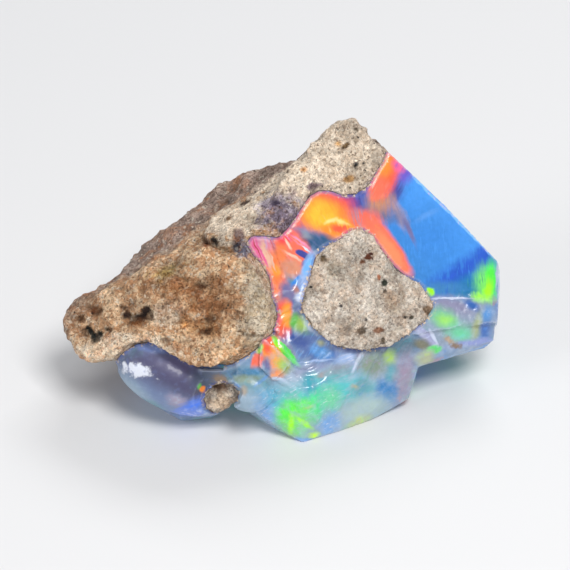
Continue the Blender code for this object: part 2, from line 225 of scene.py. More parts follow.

# %% [markdown]
# ## The rock's grain
#
# The rock is a welded volcanic ash: crumbly, full of grains a few tenths of a millimetre across, with
# small pits where crystals fell out, and a deep crease where its upper band lies on the lump. It could be
# sculpted by hand or left to a bump map, but a bump map leaves the outline smooth. So the points of the mesh
# are moved: layers of noise raise lumps and clods, and rounded cells with gaps between them look like grains
# pressed together. The pits and the creases are placed one by one. The height of each point is kept with the
# mesh as an attribute, because the material paints shade into the hollows with it.

# %% Grain, pits and creases
PITS = (
    # x, up, radius, depth
    (-10.65, 8.75, 0.33, 0.55), (-11.3, 8.65, 0.30, 0.34), (-11.85, 8.55, 0.28, 0.28),
    (-14.9, 7.5, 0.30, 0.30), (-14.35, 7.1, 0.26, 0.26), (-14.05, 7.45, 0.20, 0.22),
    (-14.1, 9.1, 0.30, 0.26), (-13.3, 7.75, 0.24, 0.22), (-12.6, 7.75, 0.30, 0.20),
    (-12.4, 9.2, 0.22, 0.18), (-6.2, 13.75, 0.24, 0.40), (-6.75, 13.9, 0.20, 0.25),
    (-6.8, 10.8, 0.50, 0.20), (-4.65, 10.8, 0.16, 0.22), (-6.5, 7.7, 0.22, 0.24), (-6.1, 8.6, 0.30, 0.20),
    (-9.45, 7.0, 0.22, 0.20), (-8.0, 7.0, 0.20, 0.16), (-5.0, 9.4, 0.22, 0.18), (-3.5, 9.1, 0.2, 0.15),
    (-7.3, 6.2, 0.22, 0.18), (-8.7, 9.9, 0.3, 0.16), (-15.4, 8.6, 0.25, 0.15), (-5.2, 16.5, 0.16, 0.15),
    (3.6, 19.0, 0.22, 0.22), (4.3, 18.9, 0.14, 0.14), (2.8, 20.2, 0.16, 0.14), (3.55, 21.6, 0.12, 0.14),
    (-4.0, 16.6, 0.20, 0.18), (-3.7, 16.5, 0.16, 0.12), (0.9, 17.7, 0.16, 0.14), (5.1, 20.9, 0.12, 0.12),
    (1.25, 12.7, 0.20, 0.12), (1.55, 12.5, 0.16, 0.12), (3.2, 7.6, 0.20, 0.12), (3.9, 7.3, 0.14, 0.10),
    (5.6, 11.2, 0.22, 0.10), (7.3, 8.6, 0.16, 0.12), (6.9, 8.6, 0.14, 0.12), (5.4, 7.1, 0.14, 0.10),
)
CREASES = (
    # the path (x, up), then its half width and depth
    (((-7.2, 14.3), (-6.7, 13.95), (-6.15, 13.7), (-5.5, 13.25), (-4.9, 13.15), (-4.45, 13.5)), 0.13, 0.24),
    (((-6.9, 13.9), (-7.0, 14.9), (-6.3, 15.9), (-5.1, 16.9)), 0.25, 0.08),
    (((-4.3, 7.75), (-3.7, 7.35), (-3.1, 7.45), (-2.8, 7.3)), 0.10, 0.20),
    (((-14.2, 11.0), (-12.2, 10.5), (-10.0, 11.1), (-8.0, 12.6), (-7.0, 14.1)), 0.40, 0.10),
    (((2.3, 7.2), (2.9, 7.9), (3.8, 8.05)), 0.10, 0.10),
)


def grains(places, size, seed):
    """Distance from each place to the nearest of many scattered grain middles, 0 at a middle, 1 far off."""
    cell = np.floor(places / size).astype(int)
    offsets = np.random.default_rng(seed).uniform(0, 1, (GRID, GRID, GRID, 3))
    nearest = np.full(len(places), 9.0)
    for step in np.ndindex(3, 3, 3):
        index = cell + step - 1
        middle = (index + offsets[tuple((index % GRID).T)]) * size
        nearest = np.minimum(nearest, np.linalg.norm(places - middle, axis=1))
    return np.clip(nearest / size, 0, 1)


def from_path(places, path):
    """Distance on the face from each place to a path of straight steps."""
    nearest = np.full(len(places), 99.0)
    for start, end in zip(np.array(path), np.array(path)[1:]):
        step, towards = end - start, places[:, :2] - start
        along = np.clip(towards @ step / np.sum(step ** 2), 0, 1)
        nearest = np.minimum(nearest, np.linalg.norm(towards - along[:, None] * step, axis=1))
    return nearest


def keep_value(piece, name, values):
    """Stores one number for each point with the mesh, where a material can read it."""
    stored = piece.data.attributes.new(name, "FLOAT", "POINT")
    stored.data.foreach_set("value", np.clip(values, 0, 1).astype(np.float32))


def roughen(piece, distances, strength=1.0):
    """Gives a rock piece its lumps, grains and pits. It stays smooth at the table and in the contact."""
    places, normals = places_of(piece)
    fine_grain = 0.45 - grains(places, 0.30, 43)
    height = 0.13 * layered_noise(places, 1.3, 11) + 0.06 * smooth_noise(places, 0.40, 31)
    height += 0.16 * (0.25 - np.abs(layered_noise(places, 0.95, 21)))
    height += 0.09 * (0.45 - grains(places, 0.55, 41)) + 0.10 * fine_grain
    front = ramp(normals[:, 2], -0.1, 0.2)
    for x, up, radius, depth in PITS:
        away = np.hypot(places[:, 0] - x, places[:, 1] - up) / radius
        height -= depth * np.exp(-away ** 2) * front
    for path, half_width, depth in CREASES:
        away = from_path(places + 0.12 * smooth_noise(places, 0.6, 51)[:, None], path) / half_width
        height -= depth * np.exp(-away ** 2) * front
    above = (from_face(places)[:, 2]) * 1000
    held = ramp(distances, 0.22, 0.36) * ramp(above, 0.02, 0.5)
    put_places(piece, places + normals * (strength * height * held)[:, None])
    keep_value(piece, "relief", 0.55 + 1.5 * height)
    keep_value(piece, "contact", ramp(distances, 0.75, 0.15))
    return height


for node, strength in (("host_rock", 1.0), ("rock_island", 0.7), ("rock_crumb", 1.3)):
    height = roughen(fine[node], reach[node], strength)
    print(node, "grain from", round(float(height.min()), 2), "to", round(float(height.max()), 2), "mm")

# %% [markdown]
# ## Tints of the rock
#
# Rock is never one colour. Iron has stained the middle of the lump brown, ash has left it grey in places,
# and black crystals sit in small holes. Each tint is an oval with a ragged border, and the colour of the
# rock is multiplied by it, so a value above 255 makes it lighter. The tints above 255 are painted light on
# undersides that face away from the lamps, and the darkest ones in the deep hole and at the end of the
# crease are painted shade. They are worked out once for each point
# and kept with the mesh, which is far quicker to render than working them out for every ray of light.

# %% Tints
def srgb(red, green, blue):
    """A colour from its usual 0 to 255 values, as the linear light that nodes work in."""
    parts = [value / 255 for value in (red, green, blue)]
    return tuple(p / 12.92 if p <= 0.04045 else ((p + 0.055) / 1.055) ** 2.4 for p in parts) + (1.0,)


TINTS = (
    # x, up, half width, half height, turn in degrees, softness, the colour that the rock is multiplied by
    (-1.65, 15.45, 1.35, 1.55, 20, 0.6, (206, 200, 214)),     # the purplish grey corner
    (-1.9, 16.4, 0.30, 0.20, 0, 0.6, (124, 118, 146)),
    (-1.3, 14.4, 0.55, 0.35, -20, 0.6, (118, 112, 140)),
    (-4.45, 14.2, 0.42, 0.50, 0, 0.6, (160, 148, 158)),       # grey above the fan
    (0.82, 17.6, 0.60, 0.24, 14, 0.6, (150, 140, 160)),       # a grey fleck by the opal
    (2.40, 20.5, 0.24, 0.28, 0, 0.8, (255, 216, 160)),
    (0.07, 18.7, 0.28, 0.22, 0, 0.8, (250, 206, 160)),
    (3.36, 18.1, 0.55, 0.20, 10, 0.7, (214, 180, 134)),
    (2.95, 20.4, 0.42, 0.12, 40, 0.5, (140, 122, 96)),
    (3.65, 21.5, 0.16, 0.14, 0, 0.5, (120, 112, 100)),
    (5.1, 20.7, 0.20, 0.10, -10, 0.5, (120, 112, 100)),
    (3.63, 19.1, 0.22, 0.20, 30, 0.4, (52, 60, 72)),
    (4.15, 19.2, 0.14, 0.12, 0, 0.4, (70, 78, 84)),
    (0.45, 16.9, 0.20, 0.12, 30, 0.5, (120, 110, 110)),
    (-1.0, 18.6, 0.20, 0.10, 40, 0.5, (110, 100, 92)),
    (-3.9, 16.5, 0.42, 0.14, 26, 0.5, (108, 92, 88)),
    (-5.05, 15.4, 0.32, 0.16, 20, 0.6, (140, 116, 92)),
    (-6.15, 13.85, 0.20, 0.34, 16, 0.4, (46, 36, 30)),        # painted shade at the dark end of the crease
    (-6.7, 13.75, 0.42, 0.26, -20, 0.7, (186, 124, 82)),
    (-8.2, 10.5, 2.2, 0.90, -16, 1.2, (208, 184, 160)),       # the brown middle of the lump
    (-6.1, 9.7, 1.6, 1.20, -30, 1.2, (192, 168, 146)),
    (-7.2, 8.1, 1.5, 0.70, -10, 1.1, (214, 190, 164)),
    (-7.0, 10.8, 0.46, 0.24, -10, 0.7, (128, 104, 82)),
    (-6.3, 8.5, 0.34, 0.24, 0, 0.7, (128, 104, 82)),
    (-6.7, 7.6, 0.34, 0.20, 0, 0.7, (140, 112, 88)),
    (-8.1, 8.05, 0.24, 0.26, 0, 1.0, (255, 212, 160)),
    (-9.4, 11.7, 1.0, 0.40, 14, 1.0, (226, 220, 170)),        # a touch of moss green
    (-12.05, 8.75, 0.30, 0.28, 0, 0.5, (82, 62, 50)),         # painted shade in the deep hole, with the next two tints
    (-11.2, 8.62, 0.42, 0.20, 10, 0.5, (76, 54, 42)),
    (-10.75, 8.95, 0.30, 0.36, 0, 0.45, (54, 36, 28)),
    (-11.4, 8.2, 0.70, 0.30, 0, 1.0, (176, 142, 112)),
    (-14.2, 9.05, 0.34, 0.28, 0, 0.6, (146, 120, 98)),
    (-13.35, 7.8, 0.38, 0.20, -6, 0.5, (134, 124, 110)),
    (-12.2, 9.2, 0.34, 0.12, -40, 0.5, (124, 108, 94)),
    (-15.3, 8.55, 0.26, 0.22, 0, 0.7, (160, 134, 104)),
    (-9.3, 7.0, 0.34, 0.30, 0, 0.6, (134, 132, 138)),
    (-14.7, 7.65, 0.26, 0.34, 20, 0.3, (40, 50, 52)),         # the cluster of black crystals
    (-14.25, 7.15, 0.36, 0.32, 0, 0.3, (42, 54, 56)),
    (-13.95, 7.45, 0.20, 0.22, 0, 0.3, (58, 66, 66)),
    (-5.6, 19.2, 1.6, 0.90, 0, 0.9, (208, 202, 206)),         # the blue-grey top of the rind
    (-12.4, 6.5, 2.6, 0.60, 6, 1.2, (288, 282, 276)),         # painted light on the underside of the lump's end, which faces away from the lamps
    # painted light on the lump's underside as well
    (-4.6, 6.2, 2.0, 0.50, 20, 1.2, (276, 270, 264)),
)
CRUMB_TINTS = (
    (-5.9, 3.95, 0.75, 0.42, -10, 0.8, (132, 108, 92)),
    (-5.6, 3.3, 0.20, 0.16, 0, 0.6, (120, 96, 80)),
    # painted light on the crumb's underside, which faces away from the lamps
    (-5.7, 2.9, 0.80, 0.45, 10, 1.0, (280, 266, 250)),
)
ISLAND_TINTS = (
    (4.45, 12.75, 0.34, 0.28, 30, 0.35, (124, 72, 50)),
    (4.65, 12.95, 0.18, 0.14, 0, 0.3, (92, 46, 34)),
    (4.15, 12.40, 0.22, 0.18, 0, 0.5, (160, 116, 92)),
    (5.2, 11.35, 0.12, 0.24, 10, 0.4, (206, 138, 106)),
    (5.6, 10.95, 0.24, 0.30, 0, 0.35, (58, 70, 62)),
    (5.6, 10.4, 0.14, 0.12, 0, 0.4, (66, 58, 52)),
    (1.35, 12.7, 0.30, 0.36, 0, 0.6, (140, 124, 100)),
    (5.2, 7.75, 0.30, 0.20, 0, 0.6, (168, 130, 110)),
    (3.95, 7.75, 0.34, 0.22, 0, 0.6, (120, 112, 104)),
    (7.0, 8.6, 0.14, 0.10, 0, 0.4, (76, 74, 68)),
    (7.45, 8.6, 0.16, 0.10, 30, 0.4, (84, 82, 72)),
    (2.6, 9.4, 0.12, 0.10, 0, 0.4, (66, 66, 72)),
    (4.3, 8.45, 0.10, 0.10, 0, 0.4, (50, 54, 62)),
    (0.55, 10.7, 0.10, 0.10, 0, 0.3, (40, 38, 38)),
    (8.6, 9.1, 0.45, 0.28, -20, 0.8, (176, 156, 136)),
    (5.5, 7.05, 0.12, 0.25, 0, 0.5, (120, 112, 100)),
    (2.1, 11.9, 0.7, 0.5, 0, 1.0, (222, 220, 214)),
    (2.9, 8.2, 0.9, 0.5, 10, 1.0, (226, 222, 218)),
    (6.2, 9.7, 0.6, 0.8, 0, 1.0, (228, 220, 212)),
)


def surface_out(tree, x, up):
    """How far out a solid's front lies at a place on the face."""
    start = Vector(from_face(np.array([x, up, 25.0])))
    towards = TO_FACE.inverted() @ Vector((0, 0, -1))
    hit = tree.ray_cast(start, towards)[0]
    return 0.0 if hit is None else float(to_face(np.array(hit))[2])


def keep_tint(piece, node, places, patches):
    """Stores a tint for each point: ragged patches, laid one over another on plain white."""
    tree = tree_of(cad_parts[node])
    ragged = 0.55 * layered_noise(places, 0.62, 91, 4, 0.66)
    tint = np.ones((len(places), 4))
    for x, up, wide, high, turn, soft, hue in patches:
        angle = math.radians(turn)
        right, over = places[:, 0] - x, places[:, 1] - up
        across = (right * math.cos(angle) + over * math.sin(angle)) / wide
        along = (over * math.cos(angle) - right * math.sin(angle)) / high
        deep = (places[:, 2] - surface_out(tree, x, up)) / (0.9 + wide)
        away = np.sqrt(across ** 2 + along ** 2 + deep ** 2) + ragged
        inside = ramp(away, 1 + 0.6 * soft, 1 - 0.6 * soft)[:, None]
        tint = tint * (1 - inside) + inside * np.array(srgb(*hue))
    stored = piece.data.attributes.new("tint", "FLOAT_COLOR", "POINT")
    stored.data.foreach_set("color", tint.ravel().astype(np.float32))


for node, patches in (("host_rock", TINTS), ("rock_island", ISLAND_TINTS), ("rock_crumb", CRUMB_TINTS)):
    keep_tint(fine[node], node, places_of(fine[node])[0], patches)
    print(node, "has", len(patches), "tints")

# %% [markdown]
# ## The opal's breaks
#
# Opal breaks like glass. A break spreads from a point and leaves ripples round it, as on the inside of a
# shell, and where it ran fast it leaves fine ribs that fan out from the point, and small splinters that
# catch the light. All are laid on the flat facets and the hollows of the solid, a few hundredths of a
# millimetre high, as waves of distance from the point where the break began. How sharp each edge is, and how
# near the rock is, are kept with the mesh: thin edges of opal get a frosty painted highlight, hollows get
# painted shade, and a bluish rim follows the rock.

# %% Ripples, ribs and splinters
RIPPLES = (
    # where the break began (x, up), how far its ripples start and end, their spacing and their height
    (0.15, 7.2, 0.9, 3.0, 0.55, 0.060),
    (7.6, 7.6, 1.5, 5.5, 0.75, 0.030),
    (-0.6, 0.2, 1.0, 4.2, 0.50, 0.028),
    (12.8, 8.4, 0.6, 3.0, 0.45, 0.024),
    (-12.5, 7.5, 3.0, 8.5, 0.95, 0.016),
    (-3.8, 3.6, 0.8, 1.9, 0.40, 0.026),
    (14.0, 18.0, 3.0, 12.0, 1.40, 0.006),
)
RIBS = (
    # the middle of the ribbed patch (x, up), its half width and half height, its turn in degrees,
    # the spacing of the ribs and their height
    (-2.5, 12.1, 1.25, 2.5, 24, 0.34, 0.085),
    (-0.75, 13.3, 1.4, 1.6, 42, 0.42, 0.075),
    (-2.0, 5.8, 0.9, 1.7, 12, 0.40, 0.040),
    (2.5, 14.7, 1.1, 0.7, 10, 0.24, 0.016),
    (4.6, 15.2, 0.9, 0.7, 10, 0.26, 0.014),
    (-1.6, 3.2, 2.2, 1.4, 62, 0.30, 0.060),
    (2.1, 4.0, 1.3, 0.9, 58, 0.28, 0.050),
    (1.8, 2.3, 0.6, 1.5, -35, 0.26, 0.050),
    (-1.1, 4.2, 1.2, 1.1, 48, 0.30, 0.050),
    (3.6, 6.0, 0.6, 1.0, -34, 0.30, 0.060),
)
RIDGES = (
    # the path of a raised edge (x, up), its half width and height
    (((4.15, 6.35), (3.85, 5.75), (3.35, 4.85)), 0.16, 0.22),
    (((7.4, 7.95), (8.6, 7.1), (9.4, 6.5)), 0.22, 0.16),
    (((9.0, 9.85), (10.4, 9.95), (12.2, 9.8)), 0.12, 0.06),
    (((0.55, 4.3), (0.75, 3.2), (0.85, 1.6)), 0.18, 0.10),
)


def break_marks(places):
    """Height of the ripples, ribs and ridges at each place on the opal's front."""
    wobble = 0.35 * smooth_noise(places, 1.4, 61)
    height = np.zeros(len(places))
    for x, up, start, end, spacing, rise in RIPPLES:
        away = np.hypot(places[:, 0] - x, places[:, 1] - up) + wobble
        window = ramp(away, start, start + spacing) * ramp(away, end, end - 0.4 * (end - start))
        height += rise * window * np.sin(2 * math.pi * away / spacing)
    for x, up, half_width, half_height, turn, spacing, rise in RIBS:
        angle = math.radians(turn)
        right, over = places[:, 0] - x, places[:, 1] - up
        across = right * math.cos(angle) + over * math.sin(angle)
        along = over * math.cos(angle) - right * math.sin(angle)
        inside = ramp(np.hypot(across / half_width, along / half_height), 1.15, 0.75)
        ribs = smooth_noise(np.column_stack((across, along * 0.16, 0 * along)), spacing, 71)
        height += rise * inside * (np.abs(ribs) * 2 - 0.6)
    for path, half_width, rise in RIDGES:
        height += rise * np.exp(-(from_path(places, path) / half_width) ** 2)
    return height


def edge_sharpness(piece):
    """How far each point stands above its neighbours: about 0 on flats, 1 at an edge, -1 in a hollow."""
    count, steps = len(piece.data.vertices), len(piece.data.edges)
    points, normals, ends = np.empty(count * 3), np.empty(count * 3), np.empty(steps * 2, dtype=int)
    piece.data.vertices.foreach_get("co", points)
    piece.data.vertex_normals.foreach_get("vector", normals)
    piece.data.edges.foreach_get("vertices", ends)
    points, normals, ends = points.reshape(-1, 3), normals.reshape(-1, 3), ends.reshape(-1, 2)
    towards = points[ends[:, 1]] - points[ends[:, 0]]
    towards /= np.linalg.norm(towards, axis=1)[:, None] + 1e-12
    drop_first = -np.sum(normals[ends[:, 0]] * towards, axis=1)
    drop_second = np.sum(normals[ends[:, 1]] * towards, axis=1)
    number = np.bincount(ends.ravel(), minlength=count)
    sharp = np.bincount(ends[:, 0], drop_first, count) + np.bincount(ends[:, 1], drop_second, count)
    sharp /= number
    for _ in range(2):
        around = np.bincount(ends[:, 0], sharp[ends[:, 1]], count) + np.bincount(
            ends[:, 1], sharp[ends[:, 0]], count)
        sharp = 0.5 * sharp + 0.5 * around / number
    return sharp


def finish_breaks(piece, distances):
    """Lays the break marks on the opal, and a very slight unevenness everywhere."""
    places, normals = places_of(piece)
    front = ramp(normals[:, 2], 0.0, 0.35)
    height = break_marks(places) * front + 0.014 * layered_noise(places, 0.9, 81)
    above = (from_face(places)[:, 2]) * 1000
    held = ramp(distances, 0.2, 0.5) * ramp(above, 0.02, 0.4)
    put_places(piece, places + normals * (height * held)[:, None])
    sharp = edge_sharpness(piece)
    # The edge value drives a painted highlight, the hollow value painted shade.
    keep_value(piece, "edge", ramp(sharp, 0.05, 0.24))
    keep_value(piece, "hollow", ramp(-sharp, 0.04, 0.22))
    keep_value(piece, "contact", ramp(distances, 0.65, 0.12))
    keep_value(piece, "near", 1 - distances / 1.3)
    return height


height = finish_breaks(fine["opal"], reach["opal"])
print("break marks from", round(float(height.min()), 3), "to", round(float(height.max()), 3), "mm")

# %% [markdown]
# ## Building materials from nodes
#
# Everything below is coloured by nodes that work from the place on the object, with no images. A few short
# helpers keep the node code readable: each adds one node and gives back the socket that the next one needs.

# %% Node helpers
def put(tree, socket, value):
    """Links a socket to a value's socket, or sets it to a plain value."""
    if isinstance(value, bpy.types.NodeSocket):
        tree.links.new(value, socket)
    else:
        socket.default_value = value


def add(tree, kind, inputs=(), out=0, **settings):
    """Adds a node with its settings and inputs, and returns one of its outputs."""
    node = tree.nodes.new(kind)
    for name, value in settings.items():
        setattr(node, name, value)
    for key, value in dict(inputs).items():
        put(tree, node.inputs[key], value)
    return node.outputs[out]


def calc(tree, operation, first, second=0.0, clamp=False):
    """One sum on numbers."""
    return add(tree, "ShaderNodeMath", {0: first, 1: second}, operation=operation, use_clamp=clamp)


def blend(tree, share, below, above, how="MIX"):
    """Mixes two colours."""
    return add(
        tree, "ShaderNodeMix", {0: share, 6: below, 7: above}, out=2, data_type="RGBA", blend_type=how
    )


def fade(tree, value, start, end):
    """0 at start, 1 at end and a smooth rise between them."""
    return add(
        tree, "ShaderNodeMapRange", {"Value": value, "From Min": start, "From Max": end},
        interpolation_type="SMOOTHSTEP",
    )


def noise_value(tree, place, scale, detail=2.0, rough=0.5, out="Fac"):
    """Soft noise at a place."""
    return add(
        tree, "ShaderNodeTexNoise",
        {"Vector": place, "Scale": scale, "Detail": detail, "Roughness": rough}, out=out,
    )


def new_group(name, inputs, outputs):
    """An empty node group with named sockets. Returns the group, its input sockets and its output node."""
    group = bpy.data.node_groups.new(name, "ShaderNodeTree")
    for way, sockets in (("INPUT", inputs), ("OUTPUT", outputs)):
        for label, kind, start in sockets:
            socket = group.interface.new_socket(label, in_out=way, socket_type=f"NodeSocket{kind}")
            if start is not None:
                socket.default_value = start
    given = group.nodes.new("NodeGroupInput").outputs
    return group, given, group.nodes.new("NodeGroupOutput")


def use(tree, group, inputs):
    """Adds a group node and returns its output sockets."""
    node = tree.nodes.new("ShaderNodeGroup")
    node.node_tree = group
    for key, value in inputs.items():
        put(tree, node.inputs[key], value)
    return node.outputs


print("linear value of a middle grey:", round(srgb(128, 128, 128)[0], 3))

# %% [markdown]
# ## The face frame for materials
#
# Materials need the same face frame as the shapes. This group turns the object's own coordinates, in
# metres, into millimetres on the face. Nothing in it depends on where the viewer stands.

# %% Group: place on the face
def place_group():
    group, _, out = new_group("place_on_face", (), (("Place", "Vector", None),))
    own = add(group, "ShaderNodeTexCoord", out="Object")
    shift = -(TO_FACE @ FOOT_TIP)
    place = add(
        group, "ShaderNodeMapping",
        {"Vector": own, "Location": shift, "Rotation": (ELEVATION - math.pi / 2, 0, 0),
         "Scale": (1000, 1000, 1000)},
        vector_type="POINT",
    )
    put(group, out.inputs["Place"], place)
    return group


PLACE = place_group()

# %% [markdown]
# ## Play of colour
#
# Precious opal is built of tiny stacked spheres of silica. Each region of the stone has its spheres in
# neat rows and throws back one colour, so the stone shows patches with wavy borders, and each patch glows
# from inside. Thin film on the surface would tint the whole stone alike, so the patches are painted one by
# one. A patch is an oval or a rounded block of space, and the surface inside it takes its colour. The group
# paints one patch over the colour that is already there. Streaky noise frays its border and draws the fine
# rows in it. Adding a millionth of the colour below to the place changes nothing that can be seen, but it
# makes the renderer work out the patches one after another. Without it a long chain of them comes out black.

# %% Groups: one flash of colour
CHAIN = (1e-6, 1e-6, 1e-6)                # the share of a colour that ties one step to the next


def flash_group(name, block):
    """One patch. A plain flash is an oval; a block's sides can be flat as well."""
    square = (("Squareness", "Float", 0.5),) if block else ()
    group, given, out = new_group(
        name,
        (
            ("Place", "Vector", None), ("Colour under", "Color", None), ("Middle", "Vector", None),
            ("Half size", "Vector", None), ("Turn", "Vector", None), *square,
            ("Outer edge", "Float", 1.2), ("Inner edge", "Float", 0.8),
            ("Rows", "Float", 0.0), ("Fraying", "Float", 0.2), ("Colour", "Color", None),
            ("Row mask", "Float", 0.0), ("Row colour", "Color", None), ("Row share", "Float", 0.0),
        ),
        (("Colour", "Color", None),),
    )
    start = add(
        group, "ShaderNodeVectorMath", {0: given["Colour under"], 1: CHAIN, 2: given["Place"]},
        operation="MULTIPLY_ADD",
    )
    local = add(
        group, "ShaderNodeMapping",
        {"Vector": start, "Location": given["Middle"], "Rotation": given["Turn"],
         "Scale": given["Half size"]},
        vector_type="TEXTURE",
    )
    away = add(group, "ShaderNodeVectorMath", {0: local}, out="Value", operation="LENGTH")
    if block:
        sides = add(group, "ShaderNodeSeparateXYZ", {
            "Vector": add(group, "ShaderNodeVectorMath", {0: local}, operation="ABSOLUTE")}).node.outputs
        flat = calc(group, "MAXIMUM", calc(group, "MAXIMUM", sides["X"], sides["Y"]), sides["Z"])
        away = add(group, "ShaderNodeMix", {0: given["Squareness"], 2: away, 3: flat}, data_type="FLOAT")
    away = add(group, "ShaderNodeMath", {0: given["Rows"], 1: given["Fraying"], 2: away},
               operation="MULTIPLY_ADD")
    inside = fade(group, away, given["Outer edge"], given["Inner edge"])
    painted = blend(group, inside, given["Colour under"], given["Colour"])
    row = calc(group, "MULTIPLY", calc(group, "MULTIPLY", inside, given["Row mask"]), given["Row share"])
    put(group, out.inputs["Colour"], blend(group, row, painted, given["Row colour"]))
    return group


FLASH = flash_group("flash", False)
BLOCK = flash_group("block_flash", True)
print("a flash takes", len(FLASH.nodes), "nodes and a block", len(BLOCK.nodes))

# %% [markdown]
# ## The colours of the opal
#
# The colours could come from a rainbow ramp, but real opal shows a few hues many times over, milky in one
# place and pure in the next. So each is named once here, in the usual 0 to 255 values, and the flashes ask
# for it by name.

# %% Colours
COLOURS = {
    "blue": (62, 138, 222), "light blue": (82, 162, 248), "lake blue": (64, 130, 190),
    "pale blue": (120, 185, 250), "deep blue": (44, 92, 200), "teal green": (58, 145, 135),
    "green": (90, 240, 80), "lime": (165, 255, 45), "mist": (180, 195, 215), "milk": (180, 205, 205),
    "violet": (112, 96, 205), "indigo": (68, 76, 155), "rose grey": (165, 150, 175),
    "slate": (100, 115, 160), "violet grey": (118, 116, 165), "rose brown": (180, 130, 125),
    "tan": (190, 150, 118), "red orange": (255, 98, 68), "salmon": (255, 118, 92),
    "orange": (255, 148, 54), "hot pink": (240, 105, 160), "red": (250, 76, 84),
    "coral": (244, 112, 96), "yellow": (252, 192, 58), "pale gold": (250, 225, 140),
    "teal": (70, 160, 180), "mist grey": (150, 158, 175), "warm salmon": (255, 145, 100),
    "pink": (245, 150, 190), "frost": (215, 225, 250), "lilac": (220, 170, 235),
    "warm tan": (225, 150, 120), "ice": (165, 190, 235), "amber": (252, 170, 66),
    "pale pink": (238, 178, 216), "moss": (160, 200, 100), "yellow green": (175, 215, 95),
    "leaf green": (105, 190, 90), "cream": (200, 215, 145), "lake deep": (62, 108, 182),
    "sky": (90, 150, 215), "cream grey": (185, 192, 160), "violet mist": (150, 160, 195),
    "peach": (215, 160, 140), "moss grey": (140, 160, 140), "night blue": (52, 72, 130),
    "aqua grey": (100, 170, 185), "dark teal": (70, 118, 138), "fresh green": (125, 230, 110),
    "lime soft": (175, 235, 85), "mint soft": (110, 215, 165), "aqua": (85, 195, 200),
    "olive": (175, 188, 140), "cyan": (85, 190, 225), "ice violet": (145, 158, 215),
    "lilac grey": (170, 174, 212), "olive dark": (125, 125, 105), "mint green": (80, 225, 110),
    "sand": (200, 175, 150), "brown": (140, 115, 92), "mint": (65, 232, 135),
    "sea grey": (108, 152, 168), "lake grey": (66, 128, 168), "ice grey": (155, 180, 200),
    "peach grey": (185, 172, 155), "frost grey": (185, 198, 222), "ice blue": (125, 175, 235),
    "dusk": (78, 82, 122), "bright blue": (80, 130, 240), "sky violet": (115, 145, 230),
    "steel blue": (120, 140, 195), "dark slate": (86, 98, 122), "yellow lime": (205, 255, 45),
    "haze blue": (120, 178, 245), "edge sky": (120, 190, 250), "edge lilac": (190, 150, 245),
    "peach light": (255, 205, 180), "deep orange": (255, 132, 70), "dark rose": (196, 62, 84),
    "dark coral": (222, 74, 58), "white frost": (238, 242, 255), "blue grey": (120, 150, 205),
    "ledge grey": (152, 168, 190), "ledge mauve": (150, 150, 182), "mint haze": (130, 205, 160),
    "sky haze": (110, 165, 220), "mint pale": (150, 250, 190), "rose mist": (178, 168, 192),
    "lobe ice": (118, 138, 178), "fan mauve": (226, 150, 180), "hollow slate": (88, 116, 176),
    "hollow deep": (56, 84, 160), "deep teal": (30, 118, 170), "rose tan": (200, 140, 110),
    "lake shade": (54, 92, 132), "lobe dusk": (82, 80, 112), "lobe mauve": (94, 92, 130),
    "lobe low": (124, 144, 184), "lime haze": (160, 228, 110), "stone brown": (150, 128, 108),
}

print(len(COLOURS), "colours")

# %% [markdown]
# ## Where the flashes lie
#
# Each flash is placed one by one, like a town on a map: a sheet of small squares is laid over the broken
# face, and places are counted in squares across and down from its corner. Widths and heights are counted in
# the same squares. Only the tip of the foot and the size of a square connect the sheet to the stone. A random
# scatter would be less work, but the stone is known by where its colours are. The cells below follow the
# face from the facet to the lobe, and what comes later is painted over what came before.

# %% The sheet
SQUARE = 0.0685                           # millimetres to one square of the sheet
SHEET_TIP = (303, 443)                    # the tip of the foot on the sheet, in squares across and down


def off_sheet(across, down, wide, high):
    """A flash's middle and its half sizes, from squares of the sheet to millimetres on the face."""
    return (across - SHEET_TIP[0]) * SQUARE, (SHEET_TIP[1] - down) * SQUARE, wide * SQUARE, high * SQUARE


print("the middle of the facet lies at", [round(value, 2) for value in off_sheet(430, 222, 1, 1)[:2]])

# %% [markdown]
# ## The great facet
#
# The largest break is one flat, glassy plane. In it the blue runs deeper towards its foot, where green
# comes in from the right, and violet and rose hang like haze along its upper left. One even blue would
# look like paint, so broad, very soft flashes of nearly the same blue lie over one another.

